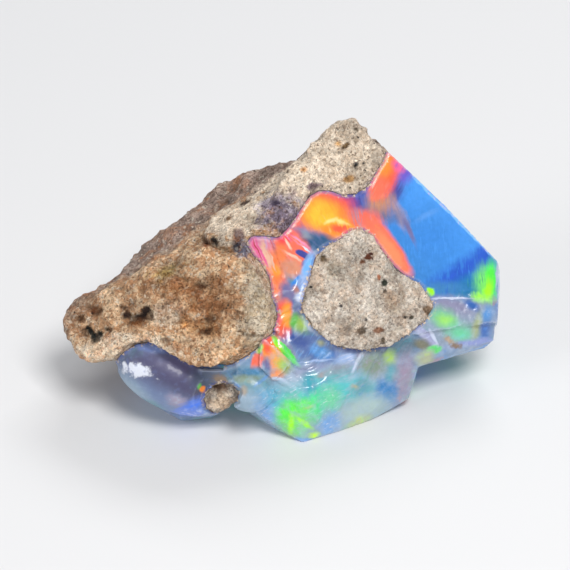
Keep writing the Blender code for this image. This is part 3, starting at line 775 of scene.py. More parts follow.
# %% The great facet
FACET_FLASHES = (
    # name, across, down, half width, half height, turn in degrees, softness, colour, squareness,
    # fraying, direction of the rows, colour of the rows and how much they show
    ("facet blue", 430, 222, 92, 66, -44, 0.3, "blue", 0.6, 0.1, "plain", "light blue", 0),
    ("facet light", 446, 205, 62, 26, -46, 1.9, "light blue", 0, 0.2, "rain", "blue", 0.5),
    ("facet deep", 408, 262, 22, 40, -30, 1.8, "lake blue", 0, 0.3, "rain", "blue", 0.4),
    ("facet haze", 426, 216, 10, 2.4, 30, 1.6, "haze blue", 0, 1.2, "across", "haze blue", 0.4),
    ("facet rain", 432, 240, 34, 30, 0, 1.6, "blue", 0, 0.3, "rain", "light blue", 0.35),
    ("deep band", 464, 271, 42, 10, 31, 1.1, "deep blue", 0.2, 0.9, "rain", "blue", 0.6),
    ("corner deep", 487, 259, 11, 12, 31, 1.1, "deep blue", 0, 0.8, "rain", "lake deep", 0.5),
    ("teal corner", 472, 288, 26, 12, 24, 1.1, "deep teal", 0, 0.8, "rain", "teal green", 0.6),
    ("teal glow", 486, 283, 9, 15, 10, 1.2, "fresh green", 0, 0.9, "rain", "teal green", 0.7),
    ("lake low", 440, 290, 26, 8, 4, 1, "lake blue", 0, 0.8, "rain", "deep blue", 0.4),
    ("edge green", 493, 281, 5.5, 20, -4, 1, "green", 0.2, 0.9, "rain", "lime", 0.35),
    ("edge lime", 490, 292, 4, 12, -4, 1, "lime", 0, 0.8, "rain", "green", 0.4),
    ("low lime", 481, 299, 8.5, 5, -18, 0.9, "lime", 0, 0.9, "rain", "green", 0.5),
    ("green speck", 431, 292, 4.5, 4.5, 0, 0.5, "lime", 0.3, 0.2, "plain", "green", 0.2),
    ("pale right rim", 499.5, 272, 1.6, 16, -4, 0.8, "mist", 0, 0.2, "plain", "milk", 0.3),
    ("edge line", 443.5, 205.5, 80, 1.1, -44.7, 0.9, "edge sky", 0, 0.3, "plain", "lilac", 0.5),
    ("edge line top", 398, 161, 16, 1.5, -44.7, 0.9, "edge lilac", 0, 0.3, "plain", "pink", 0.5),
    ("violet one", 406, 173, 8, 12, -36, 1.1, "violet", 0, 0.9, "right", "blue", 0.4),
    ("violet two", 395, 190, 8, 10, -20, 1.3, "indigo", 0, 1, "right", "violet", 0.4),
    ("rose haze", 399, 214, 5, 15, 28, 1.3, "rose grey", 0, 1.2, "left", "slate", 0.6),
    ("violet haze", 409, 229, 2.6, 14, 26, 1.2, "violet grey", 0, 1.2, "left", "blue", 0.5),
    ("slate tail", 372, 214, 26, 8, -8, 1, "slate", 0, 0.6, "plain", "rose brown", 0.3),
)
print("the great facet:", len(FACET_FLASHES), "flashes")

# %% [markdown]
# ## The warm flashes along the rock
#
# Under the upper rock the stone burns red, orange and yellow, with a comb of fine rows at its brightest
# place. The yellow lies on orange and the orange on red, each smaller and softer than the last, which
# gives the glow a heart. Indigo and slate patches break it up, as in the stone.

# %% The warm flashes along the rock
WARM_FLASHES = (
    ("tan haze", 379, 201, 14, 12, -10, 1.2, "rose tan", 0, 1, "rain", "slate", 0.35),
    ("indigo one", 351, 202, 14, 11, 0, 0.9, "indigo", 0.2, 0.8, "fine", "deep blue", 0.3),
    ("indigo two", 360, 190, 7, 6, 0, 0.9, "indigo", 0, 0.4, "plain", "violet", 0.2),
    ("upper red", 385, 172, 13.5, 25, -24, 0.7, "red orange", 0.3, 0.5, "right", "salmon", 0.4),
    ("upper orange", 383, 165, 9, 13, -26, 1.1, "orange", 0, 0.6, "right", "salmon", 0.4),
    ("upper salmon", 379, 188, 8, 12, -18, 1.1, "salmon", 0, 0.8, "right", "tan", 0.4),
    ("upper pink", 399, 166, 6.5, 5, -40, 1, "hot pink", 0, 0.7, "right", "violet", 0.4),
    ("orange ground", 321, 210, 32, 21, -14, 0.6, "red", 0.45, 0.3, "left", "red orange", 0.3),
    ("orange tail", 290, 229, 14, 6, 38, 0.9, "coral", 0, 0.5, "left", "rose brown", 0.3),
    ("orange body", 326, 215, 25, 16, -20, 1, "orange", 0.2, 0.4, "left", "yellow", 0.3),
    ("orange tongue", 350, 226, 16, 8, -16, 1, "orange", 0, 0.8, "left", "coral", 0.6),
    ("yellow heart", 320, 215, 14, 13, -10, 1.2, "yellow", 0, 0.6, "left", "orange", 0.4),
    ("yellow streak", 337, 223, 16, 5, -16, 0.9, "yellow", 0, 0.6, "left", "pale gold", 0.6),
    ("gold spark", 331, 221, 6, 2, 24, 0.9, "pale gold", 0, 0.6, "left", "yellow", 0.3),
    ("gold spark two", 342, 222, 8, 1.5, -18, 0.9, "pale gold", 0, 0.6, "left", "yellow", 0.3),
    ("comb", 341, 230, 11, 6, -4, 0.9, "red orange", 0.2, 0.6, "fine", "yellow", 0.9),
    ("orange lip", 330, 233, 10, 4, -24, 1, "orange", 0, 0.8, "left", "pale gold", 0.5),
    ("orange foot", 334, 238, 8, 5, 20, 0.8, "orange", 0, 0.4, "plain", "coral", 0.4),
    ("lake under", 316, 243, 27, 8.5, -8, 0.8, "lake shade", 0.2, 0.4, "fan", "slate", 0.4),
    ("slate stroke", 301, 233, 10, 3, -26, 1, "mist grey", 0, 0.6, "plain", "slate", 0.3),
    ("indigo stroke", 296, 233, 6, 5, -40, 1, "violet grey", 0, 0.5, "plain", "slate", 0.3),
)
print("the warm flashes along the rock:", len(WARM_FLASHES), "flashes")

# %% [markdown]
# ## The salmon flash round the island
#
# A crescent of salmon follows the right side of the pale island. Its border is sharp, because there one
# region of the stone ends and another starts.

# %% The salmon flash round the island
SALMON_FLASHES = (
    ("salmon bridge", 366, 219, 16, 9, -14, 0.9, "coral", 0, 0.7, "fine", "rose grey", 0.7),
    ("salmon crescent", 388, 248, 11, 38, 36, 0.35, "salmon", 0.15, 0.15, "plain", "orange", 0.25),
    ("salmon heart", 390, 250, 6, 22, 36, 0.9, "warm salmon", 0, 0.3, "plain", "salmon", 0.2),
    ("island haze", 411, 282, 18, 3.4, -34, 0.9, "pale blue", 0, 0.5, "plain", "mist", 0.4),
)
print("the salmon flash round the island:", len(SALMON_FLASHES), "flashes")

# %% [markdown]
# ## The fan of ribs
#
# Between the two rocks the opal broke in long ribs that fan out from a point, and each rib catches its own
# pink, coral or white. Grooves alone would hardly show at this size, so thin flashes run the same way as
# the ribs of the mesh: the pink and coral ones are the stone's colours, the cream and white ones painted
# highlights on the ribs, and the dark ones painted shade between them.

# %% The fan of ribs
FAN_FLASHES = (
    ("fan ground", 268, 266, 12.5, 38, 24, 0.35, "warm salmon", 0.5, 0.15, "left", "red orange", 0.5),
    ("fan pink", 260, 246, 10, 15, 18, 0.9, "pink", 0.2, 0.4, "left", "pale pink", 0.8),
    ("fan lilac", 247, 242, 5, 12, 10, 1.1, "fan mauve", 0.2, 0.4, "left", "frost", 0.5),
    ("fan orange", 275, 268, 6, 16, 14, 0.9, "deep orange", 0, 0.4, "left", "coral", 0.3),
    ("fan amber", 260, 264, 3.5, 15, 26, 0.7, "warm salmon", 0, 0.4, "left", "frost", 0.8),
    ("fan low", 271, 287, 8, 13, 24, 0.8, "red orange", 0, 0.5, "left", "warm salmon", 0.4),
    ("rib peach", 267, 255, 3, 17, 19, 0.7, "peach light", 0, 0.4, "left", "deep orange", 0.5),
    ("rib rose", 262, 253, 1.3, 15, 25, 0.7, "hot pink", 0, 0.3, "plain", "red", 0.3),
    ("rib amber", 277, 271, 3.4, 5, 10, 0.9, "amber", 0, 0.4, "left", "orange", 0.3),
    ("rib red", 256, 249, 1.7, 12, 25, 0.8, "hot pink", 0, 0.3, "left", "salmon", 0.4),
    ("rib red two", 269, 284, 3.5, 12, 28, 0.9, "red orange", 0, 0.4, "left", "red", 0.4),
    ("rib orange", 263, 269, 2.4, 17, 27, 0.8, "deep orange", 0, 0.3, "left", "orange", 0.3),
    # Below, the cream and white ribs are painted highlights and the dark ribs painted shade between ribs.
    ("rib cream", 259, 260, 1.7, 9, 29, 0.8, "peach light", 0, 0.3, "left", "frost", 0.4),
    ("rib dark", 257.5, 249, 0.7, 12, 24, 0.7, "dark rose", 0, 0.2, "plain", "red", 0.2),
    ("rib dark two", 266, 270, 0.6, 15, 27, 0.8, "dark coral", 0, 0.2, "plain", "red", 0.2),
    ("rib dark three", 271, 240, 0.6, 9, 17, 0.8, "dark rose", 0, 0.2, "plain", "red", 0.2),
    ("rib white", 273, 262, 0.9, 9, 17, 0.8, "peach light", 0, 0.3, "plain", "pale pink", 0.2),
    ("rib white two", 265, 241, 1.2, 9, 14, 0.8, "pale pink", 0, 0.2, "plain", "frost", 0.2),
    ("rib white three", 262, 275, 0.7, 11, 32, 0.8, "peach light", 0, 0.2, "plain", "frost", 0.2),
    ("rib lilac", 254, 258, 1.6, 8, 28, 0.8, "pale pink", 0, 0.4, "left", "frost", 0.4),
    ("fan two", 292, 249, 15, 22, 34, 0.5, "salmon", 0.3, 0.3, "fan", "coral", 0.6),
    ("fan two amber", 281, 254, 5, 13, 4, 1, "deep orange", 0, 0.4, "left", "coral", 0.3),
    ("fan two red", 286, 238, 8, 6, 30, 0.9, "red", 0, 0.4, "fan", "pink", 0.6),
    ("fan two light", 301, 243, 2.2, 12, 52, 0.9, "pink", 0, 0.3, "fan", "salmon", 0.4),
    # The beams are painted highlights along the ribs of the second fan.
    ("beam one", 288, 244, 1.5, 6, 28, 0.8, "peach light", 0, 0.3, "plain", "frost", 0.2),
    ("beam two", 294, 257, 1.2, 10, 58, 0.8, "peach light", 0, 0.3, "plain", "frost", 0.2),
    ("beam three", 296, 240, 0.8, 11, 50, 0.8, "salmon", 0, 0.3, "plain", "frost", 0.2),
    ("beam four", 306, 250, 0.9, 5, 52, 0.7, "white frost", 0, 0.3, "plain", "frost", 0.2),
    ("fan two low", 292, 268, 12, 9, -10, 0.9, "warm tan", 0, 0.4, "plain", "mist grey", 0.2),
    ("notch", 302, 254.5, 7.5, 3, -26, 0.4, "indigo", 0.2, 0.2, "plain", "slate", 0.2),
    ("notch tail", 297, 281, 2.6, 8, -46, 0.8, "blue", 0, 0.4, "plain", "cyan", 0.5),
    ("notch foot", 308, 259, 2, 8, -50, 0.8, "indigo", 0, 0.3, "plain", "slate", 0.3),
    ("ice strip", 306, 276, 5.5, 24, -14, 0.9, "ice", 0, 0.8, "right", "blue grey", 0.8),
    ("ice sky", 309, 265, 5, 10, -20, 0.9, "pale blue", 0, 0.4, "right", "frost", 0.4),
    ("rose speck", 296, 290, 3.2, 5, 0, 0.8, "rose brown", 0, 0.3, "plain", "salmon", 0.3),
    ("ice pool", 300, 297, 6, 5, 0, 0.8, "frost", 0, 0.9, "across", "ice", 0.6),
    ("violet ground", 287, 294, 7, 13, 6, 0.9, "violet grey", 0, 0.4, "plain", "slate", 0.3),
    ("slate gap", 298, 312, 5, 8, 0, 0.9, "slate", 0, 0.4, "plain", "mist grey", 0.3),
)
print("the fan of ribs:", len(FAN_FLASHES), "flashes")

# %% [markdown]
# ## The column below the fan
#
# The fan runs down into a short column of orange fire with moss green beside it. Ovals and two blocks are
# enough for it, because no single rib stands out there.

# %% The column below the fan
COLUMN_FLASHES = (
    ("ember", 283, 318, 8.5, 18, -3, 0.45, "red orange", 0.5, 0.15, "plain", "coral", 0.3),
    ("ember heart", 286.5, 315, 5, 12, 0, 0.9, "amber", 0, 0.3, "plain", "orange", 0.3),
    ("ember pink", 272.5, 322, 4, 14, 2, 0.6, "pale pink", 0.3, 0.3, "left", "frost", 0.5),
    ("ember foot", 286, 333, 6, 5, 0, 0.9, "coral", 0, 0.4, "plain", "rose brown", 0.3),
    ("moss", 301, 325, 10, 8, -34, 0.9, "moss", 0, 0.4, "plain", "yellow green", 0.4),
    ("moss green", 294, 321, 4, 7, -10, 0.9, "leaf green", 0, 0.4, "plain", "moss", 0.3),
    ("pale strip", 315, 331, 4, 15, 44, 0.8, "mist", 0, 0.5, "left", "cream", 0.5),
)
print("the column below the fan:", len(COLUMN_FLASHES), "flashes")

# %% [markdown]
# ## The blue hollow
#
# Below the island shell-shaped hollows and steps lead down to the foot. They are grey blue and milky, with
# bright lines on the edges of the steps. The lines are painted highlights, very thin flashes, because an edge
# that is lit by the lamps alone would be bright in one place only. Under the overhang of the island lies a
# dark band of painted shadow.

# %% The blue hollow
HOLLOW_FLASHES = (
    ("hollow blue", 315, 348, 28, 15, -18, 0.8, "hollow slate", 0.1, 0.5, "right", "pale blue", 0.5),
    ("hollow deep", 299, 341, 12, 6, -26, 1.1, "hollow deep", 0, 0.4, "plain", "hollow slate", 0.4),
    ("hollow light", 321, 352, 11, 6, -20, 0.9, "sky", 0, 0.7, "plain", "pale blue", 0.5),
    ("hollow cream", 321, 343, 4, 2.5, -10, 1.4, "cream grey", 0, 0.5, "plain", "mist", 0.3),
    ("hollow lower", 313, 372, 22, 8, 6, 0.8, "violet mist", 0, 0.5, "plain", "slate", 0.3),
    # a painted highlight on the edge of a step
    ("hollow rim", 316, 361, 16, 1.2, 6, 0.9, "ice", 0, 0.6, "plain", "frost", 0.5),
    ("peach step", 326, 374, 10, 2.6, 16, 0.8, "peach", 0, 0.5, "plain", "rose grey", 0.3),
    ("teal step", 325, 381, 14, 3, 24, 0.8, "lake blue", 0, 0.5, "plain", "teal", 0.3),
    ("frost step", 347, 360, 10, 8, 24, 0.9, "ice", 0, 0.8, "across", "frost", 0.8),
    ("grey shelf", 337, 372, 16, 7, 20, 0.9, "mist grey", 0, 0.4, "plain", "moss grey", 0.4),
    ("shelf shade", 349, 349, 14, 4, -4, 0.9, "slate", 0, 0.5, "plain", "lake blue", 0.3),
    # a painted highlight on a ridge
    ("white ridge", 357.5, 361, 1.6, 13, -29, 0.6, "frost", 0, 0.2, "plain", "lilac", 0.3),
    # painted shadow under the overhanging island
    ("painted shadow under island", 385, 349, 26, 4.5, 3, 0.9, "night blue", 0, 0.6, "plain", "teal", 0.3),
    ("moss field", 374, 364, 16, 12, 0, 1, "moss grey", 0, 0.5, "plain", "rose grey", 0.5),
    ("green patch", 391, 357, 6, 7, 0, 1.1, "yellow green", 0.3, 0.6, "plain", "moss", 0.4),
    ("teal patch", 394, 374, 7, 10, 0, 0.9, "aqua grey", 0, 0.4, "plain", "teal", 0.3),
    ("teal dark", 405, 345, 13, 12, 40, 0.9, "dark teal", 0, 0.4, "plain", "teal", 0.3),
    ("rose wall", 405, 378, 9, 24, -6, 1.6, "rose grey", 0, 1, "right", "violet mist", 0.6),
    ("night speck", 413, 392, 3, 6, -20, 0.8, "night blue", 0, 0.4, "plain", "deep blue", 0.3),
)
print("the blue hollow:", len(HOLLOW_FLASHES), "flashes")

# %% [markdown]
# ## The right-hand ledge
#
# The ledge under the great facet is milky and violet grey, with soft lime and mint light inside. Most of
# its flashes have very soft borders, because the stone is cloudy there.

# %% The right-hand ledge
LEDGE_FLASHES = (
    ("ledge ground", 462, 322, 38, 22, 6, 0.6, "ledge grey", 0.4, 0.4, "plain", "mist", 0.4),
    ("ledge top", 452, 306, 26, 8, -10, 1.1, "ledge mauve", 0, 0.6, "plain", "mist", 0.4),
    # a painted highlight along the ridge of the ledge
    ("ledge rim", 452, 298.6, 20, 0.9, 1, 0.8, "frost", 0, 0.5, "plain", "lilac", 0.3),
    ("ledge green", 443, 318, 14, 9, -24, 1.2, "mint haze", 0, 0.7, "plain", "yellow green", 0.4),
    ("ledge lime", 447, 321, 8, 5, -14, 1.6, "lime haze", 0, 0.7, "plain", "green", 0.4),
    ("ledge mint", 461, 333, 12, 8, -12, 1.7, "mint soft", 0, 0.8, "plain", "aqua", 0.3),
    ("ledge olive", 479, 326, 4, 13, -14, 1.3, "olive", 0, 0.8, "plain", "mist", 0.4),
    ("ledge blue", 487, 330, 5, 11, -10, 1.4, "lake deep", 0, 1, "plain", "blue", 0.3),
    ("ledge cyan", 489, 314, 5, 6, -20, 1.6, "sky", 0, 1, "plain", "mist", 0.4),
    ("ledge upper blue", 473, 305, 8, 4, -34, 1.1, "lake deep", 0, 0.7, "plain", "blue", 0.3),
    ("ledge low", 475, 343, 22, 3.4, 8, 1.1, "ice violet", 0, 0.7, "plain", "mist", 0.5),
    ("wedge", 426, 336, 17, 4.4, -40, 0.5, "lilac grey", 0.3, 0.3, "across", "frost", 0.5),
    ("wedge tip", 434, 337, 2, 8, 28, 0.7, "frost", 0, 0.3, "plain", "pale pink", 0.4),
    ("olive shade", 423, 345, 8, 5, -10, 0.9, "olive dark", 0, 0.5, "plain", "tan", 0.3),
    ("tip green", 435, 350, 7.5, 4, 10, 0.7, "mint green", 0, 0.4, "plain", "yellow green", 0.3),
    ("tip cream", 426, 358, 10, 7, 24, 0.9, "cream grey", 0, 0.5, "plain", "yellow green", 0.4),
    ("crumb tan", 451, 341, 6, 3.2, -24, 0.9, "sand", 0, 3, "plain", "brown", 0.6),
    ("crumb brown", 457, 346, 6, 2.4, -12, 0.9, "brown", 0, 3, "plain", "sand", 0.6),
)
print("the right-hand ledge:", len(LEDGE_FLASHES), "flashes")

# %% [markdown]
# ## The wedge of fire
#
# At the left of the foot stands a small wedge with flat sides: orange fire, a yellow heart and a green
# edge. Its main flashes are blocks with flattened sides, because an oval's border would be too round.

# %% The wedge of fire
WEDGE_FLASHES = (
    ("wedge fire", 275, 356, 11, 22, 18, 0.4, "orange", 0.5, 0.2, "left", "amber", 0.4),
    ("wedge red", 268, 344, 5.5, 9, 16, 0.8, "red orange", 0, 0.3, "plain", "orange", 0.3),
    ("wedge yellow", 278, 356, 5, 11, 22, 1.2, "amber", 0, 0.4, "left", "moss", 0.4),
    ("wedge olive", 285, 366, 7, 9, 30, 1.2, "moss", 0, 0.6, "plain", "yellow green", 0.4),
    ("wedge slate", 267.5, 366, 3.6, 9, 4, 1.2, "violet grey", 0, 0.6, "plain", "rose grey", 0.4),
    ("wedge foot", 276, 374, 7, 4.6, -4, 1, "orange", 0, 0.5, "plain", "yellow", 0.4),
    ("wedge green", 285.5, 351, 3.4, 20, 42, 0.45, "green", 0.2, 0.2, "plain", "mint", 0.3),
    ("wedge lime", 278, 345, 1.8, 9, 42, 0.8, "lime", 0, 0.3, "plain", "green", 0.3),
    # a painted highlight along the lower rim of the wedge
    ("wedge rim", 279, 379, 9, 1.2, -6, 0.7, "frost", 0, 0.4, "plain", "ice", 0.3),
    ("ember chip", 257, 362, 6, 9, -16, 0.35, "salmon", 0.5, 0.15, "plain", "coral", 0.3),
    ("chip lime", 259.5, 349, 3, 4.5, -20, 0.6, "lime soft", 0.2, 0.3, "plain", "olive", 0.3),
    ("chip lilac", 238, 359, 15, 6, 28, 0.9, "lilac grey", 0, 0.5, "left", "frost", 0.4),
)
print("the wedge of fire:", len(WEDGE_FLASHES), "flashes")

# %% [markdown]
# ## The dome and the foot
#
# The foot ends in clear, glassy opal with mint and lime green in it, and the dome beside it is a smooth
# sea grey. Small splinters of the break catch the light all over the foot. Their glints are painted: rows
# that run one way, mostly near white, gathered in clusters, as splinters are.

# %% The dome and the foot
FOOT_FLASHES = (
    ("dome", 247, 392, 25, 23, 0, 0.5, "sea grey", 0.2, 0.2, "plain", "aqua grey", 0.3),
    ("dome rim", 246, 372, 24, 4, 2, 1, "lake grey", 0, 0.3, "plain", "sky", 0.4),
    ("dome arc", 236, 383, 10, 1.4, -52, 1, "sky", 0, 0.4, "plain", "ice", 0.4),
    ("dome arc two", 262, 380, 9, 1.4, 42, 1, "sky", 0, 0.4, "plain", "ice", 0.4),
    ("dome green", 246, 379, 14, 4, 0, 1, "moss grey", 0, 0.4, "plain", "aqua grey", 0.3),
    ("dome foot", 250, 404, 20, 12, -10, 1, "ice grey", 0, 0.4, "plain", "mist", 0.3),
    ("dome spot", 244, 391, 3.6, 4.6, 0, 1.3, "peach grey", 0, 0.8, "plain", "sand", 0.3),
    # Where the hackle rows are near white, they are painted glints of splinters.
    ("frost field", 293, 385, 13, 13, 30, 1.2, "frost grey", 0, 1, "hackle", "white frost", 0.9),
    ("frost left", 276, 402, 18, 10, -30, 1.2, "sky haze", 0, 0.9, "hackle", "white frost", 0.95),
    ("blue shin", 271, 415, 18, 8, -34, 1.2, "ice blue", 0, 0.9, "hackle", "frost", 0.8),
    ("aqua ground", 300, 402, 26, 15, -10, 1.3, "aqua", 0, 0.7, "hackle", "white frost", 0.5),
    ("mint column", 316, 400, 5, 21, 4, 0.9, "mint", 0.2, 0.4, "hackle", "mint pale", 0.6),
    ("teal head", 310, 383, 9, 10, 30, 0.9, "teal", 0, 0.4, "plain", "lake blue", 0.3),
    ("aqua field", 347, 390, 28, 15, -6, 1.3, "aqua", 0, 0.8, "across", "frost", 0.3),
    ("mint field", 330, 400, 11, 13, 0, 1.3, "mint soft", 0, 0.9, "hackle", "white frost", 0.6),
    ("blue window", 387, 392, 11, 11, -8, 0.8, "lake blue", 0.3, 0.7, "across", "blue", 0.4),
    ("blue mist", 362, 388, 9, 11, 0, 1, "aqua grey", 0, 0.5, "plain", "lake blue", 0.5),
    ("amber fleck", 355, 387, 3.2, 1.8, -30, 1.6, "cream grey", 0, 1.4, "plain", "cream", 0.4),
    ("milk field", 362, 411, 26, 12, 18, 1, "milk", 0, 0.5, "plain", "ice grey", 0.4),
    ("cream field", 360, 424, 13, 6, 26, 0.9, "cream", 0, 0.6, "plain", "lime soft", 0.4),
    ("shin blue", 330, 424, 9, 12, -34, 1.2, "ice blue", 0, 0.9, "hackle", "white frost", 0.7),
    ("foot ground", 294, 419, 17, 20, -8, 1, "fresh green", 0.1, 0.7, "hackle", "mint pale", 0.5),
    ("foot green", 287, 412, 11, 8, 38, 1.1, "green", 0, 0.8, "left", "lime", 0.4),
    ("foot upper", 304, 406, 9, 6, 26, 1.1, "green", 0, 0.7, "left", "lime", 0.4),
    ("foot lime", 291, 424, 3, 10, -4, 1.1, "lime", 0, 0.7, "plain", "green", 0.3),
    ("foot stroke", 305, 423, 10, 2.4, -38, 1, "lime", 0, 0.6, "plain", "green", 0.3),
    ("foot yellow", 314, 436, 5, 2.6, 14, 1.3, "yellow lime", 0, 0.6, "plain", "lime", 0.3),
    ("foot gold", 309, 407, 5, 1.6, 22, 1.4, "lime haze", 0, 1.4, "hackle", "white frost", 0.6),
    ("foot tip", 302, 441, 14, 3, 0, 0.9, "ice blue", 0, 0.5, "plain", "blue", 0.3),
)
print("the dome and the foot:", len(FOOT_FLASHES), "flashes")

# %% [markdown]
# ## The lobe
#
# The lobe is a rounded bud of the opal, dusky violet above and icy below, with a frosty painted highlight
# on its upper left. It has almost no play of colour, so its few flashes are large and dull.

# %% The lobe
LOBE_FLASHES = (
    ("lobe ground", 160, 385, 62, 34, -14, 0.6, "lobe dusk", 0.2, 0.3, "plain", "slate", 0.3),
    ("lobe ice", 146, 400, 40, 17, -30, 1.6, "lobe ice", 0, 0.3, "plain", "dusk", 0.2),
    ("lobe mauve", 184, 362, 32, 12, -18, 1.7, "lobe mauve", 0, 0.3, "plain", "lobe dusk", 0.3),
    ("lobe low", 156, 404, 46, 12, -16, 1.5, "lobe low", 0, 0.5, "plain", "ice grey", 0.4),
    ("lobe pale", 134, 392, 22, 9, -50, 1.5, "ice grey", 0, 0.5, "plain", "mist", 0.3),
    ("lobe green", 150, 406, 14, 5, -16, 0.9, "sea grey", 0, 0.4, "plain", "moss grey", 0.3),
    # a painted highlight on the lobe's upper left
    ("lobe painted highlight", 137, 370, 15, 6.5, -14, 0.6, "white frost", 0, 3, "plain", "ice violet", 0.3),
    ("lobe peach", 177, 401, 8, 5, -20, 1.5, "rose mist", 0.2, 1.6, "plain", "mist", 0.5),
    ("lobe blue", 192, 407, 16, 6, 34, 1.2, "bright blue", 0, 1.2, "across", "sky violet", 0.6),
    ("lobe foot", 190, 413, 16, 4, 0, 1.2, "sky violet", 0, 1.4, "plain", "frost", 0.6),
    ("frost rim", 152, 347, 15, 5.5, -10, 0.7, "steel blue", 0, 0.8, "plain", "frost", 0.6),
    ("lobe dusk", 207, 379, 13, 14, 0, 1.3, "dark slate", 0, 0.5, "plain", "slate", 0.3),
    ("lobe spark", 202.5, 389, 3, 3.6, -30, 0.6, "orange", 0, 0.3, "plain", "red orange", 0.3),
    ("lobe spark two", 199, 386, 2.2, 3.2, -30, 0.8, "leaf green", 0, 0.3, "plain", "moss", 0.3),
    ("crumb skirt", 208, 399, 8, 7, 0, 0.8, "sand", 0, 2.4, "plain", "stone brown", 0.6),
    ("crumb skirt two", 231, 398, 6, 8, 20, 0.8, "sand", 0, 2.4, "plain", "stone brown", 0.6),
    ("crumb cap", 221, 381, 9, 5, -20, 0.8, "stone brown", 0, 2.2, "plain", "sand", 0.6),
)
print("the lobe:", len(LOBE_FLASHES), "flashes")

# %% [markdown]
# ## All the flashes together
#
# A flash must sit on the surface, and the surface is nowhere level. So each one needs to know how far out
# the stone's front lies at its place, which a ray shot back at the solid tells.

# %% All flashes
FLASHES = (
    FACET_FLASHES + WARM_FLASHES + SALMON_FLASHES + FAN_FLASHES + COLUMN_FLASHES + HOLLOW_FLASHES
    + LEDGE_FLASHES + WEDGE_FLASHES + FOOT_FLASHES + LOBE_FLASHES
)
opal_tree = tree_of(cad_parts["opal"])
print(len(FLASHES), "flashes; the blue facet lies at", round(surface_out(opal_tree, 8.7, 13.9), 2), "mm")

# %% [markdown]
# ## The opal's body
#
# Away from the named flashes the opal is a milky blue-grey glass with weaker colours in it. Soft clouds of
# a few colours lie over one another there. They are strongest on the sides that are turned away.

# %% Group: milky body
BODY_HUES = (
    # colour, the channel of the noise that carries it, where in the noise it starts
    ("blue", "Red", 0.48), ("lake blue", "Green", 0.52), ("mint", "Blue", 0.56), ("coral", "Red", 0.60),
    ("green", "Green", 0.61), ("light blue", "Blue", 0.63),
)


def body_group():
    """The body colour: milky glass with soft clouds of colour, stronger towards the back."""
    group, given, out = new_group(
        "opal_body", (("Place", "Vector", None),), (("Colour", "Color", None),)
    )
    place = given["Place"]
    swirl = add(group, "ShaderNodeVectorMath", {
        0: noise_value(group, place, 0.5, 3.0, out="Color"), "Scale": 3.0}, operation="SCALE")
    bent = add(group, "ShaderNodeVectorMath", {0: place, 1: swirl}, operation="ADD")
    sides = add(group, "ShaderNodeSeparateXYZ", {"Vector": place}).node.outputs
    milky = blend(group, fade(group, sides["Y"], 3.0, 9.0), srgb(150, 180, 200), srgb(96, 120, 175))
    cloud = noise_value(group, place, 0.8, 4.0)
    milky = blend(group, fade(group, cloud, 0.40, 0.75), milky, srgb(175, 190, 212))
    clouds = add(group, "ShaderNodeSeparateColor", {
        "Color": noise_value(group, bent, 0.42, 3.0, 0.6, out="Color")}).node.outputs
    play = milky
    for name, channel, start in BODY_HUES:
        play = blend(group, fade(group, clouds[channel], start, start + 0.07), play, srgb(*COLOURS[name]))
    hidden = fade(group, sides["Z"], -1.5, -5.0)
    share = calc(group, "ADD", 0.15, calc(group, "MULTIPLY", hidden, calc(
        group, "ADD", 0.30, calc(group, "MULTIPLY", fade(group, cloud, 0.62, 0.40), 0.4))))
    put(group, out.inputs["Colour"], blend(group, share, milky, play))
    return group


BODY = body_group()
print("body made of", len(BODY.nodes), "nodes")

# %% [markdown]
# ## Streaks for the flashes
#
# Inside a patch of opal the rows of spheres show as fine streaks, and each patch has its own direction.
# Noise that is stretched along one line gives such streaks. It is made once for each direction, and each
# flash says which it wants, because the same noise inside every flash would render far more slowly.
# Splinters are a special case: short strokes at a steep turn, gathered in clusters, whose white rows are
# painted glints.

# %% Streaks
STREAK_TURNS = {"left": 25, "right": -30, "across": -70, "fan": 45, "rain": 4}
STREAK = (0.16, 1.1, 1.1)                 # a streak's width, length and depth, in millimetres
COMB_TURN, COMB = 14, (0.19, 1.5, 1.0)
SPLINTER_TURN, SPLINTER = -62, (0.085, 0.6, 0.3)


def streaks(tree, place, turn, size, detail, rough):
    """Noise that is stretched along a line on the face, turned by this many degrees."""
    turned = add(
        tree, "ShaderNodeMapping",
        {"Vector": place, "Rotation": (0, 0, math.radians(turn)), "Scale": size}, vector_type="TEXTURE",
    )
    return noise_value(tree, turned, 1.0, detail, rough)


def row_values(tree, place):
    """For each name that a flash may ask for: streaky noise about zero, and the mask of its rows."""
    values = {"plain": noise_value(tree, place, 2.4, 4.0, 0.6)}
    for name, turn in STREAK_TURNS.items():
        values[name] = streaks(tree, place, turn, STREAK, 2.0, 0.6)
    values["fine"] = streaks(tree, place, COMB_TURN, COMB, 1.0, 0.5)
    rows = {
        name: (calc(tree, "SUBTRACT", value, 0.5), fade(tree, value, 0.52, 0.66))
        for name, value in values.items()
    }
    # the splinter rows carry painted glints where their row colour is near white
    value = streaks(tree, place, SPLINTER_TURN, SPLINTER, 3.0, 0.55)
    rows["hackle"] = (calc(tree, "SUBTRACT", value, 0.5), calc(
        tree, "MULTIPLY", fade(tree, value, 0.56, 0.64), fade(tree, values["plain"], 0.44, 0.54)))
    return rows


print("streaks run in", len(STREAK_TURNS) + 2, "directions")

# %% [markdown]
# ## Painting the flashes
#
# The borders between the regions of an opal wander, so the place is first shifted a little by noise. Then
# the flashes are painted over the body one by one. Each reaches some way into the stone as well, so that it
# wraps round the edges as a real region does, and a flash on a steep place isn't cut short.

# %% Painting the flashes
WANDER = 0.40                             # the range over which noise shifts the borders, in millimetres
SOFTNESS = 0.62                           # how far a border of softness 1 fades each way, in half sizes
DEPTH, DEPTH_SHARE = 1.4, 0.6             # half depth: millimetres, and a share of the longer half size


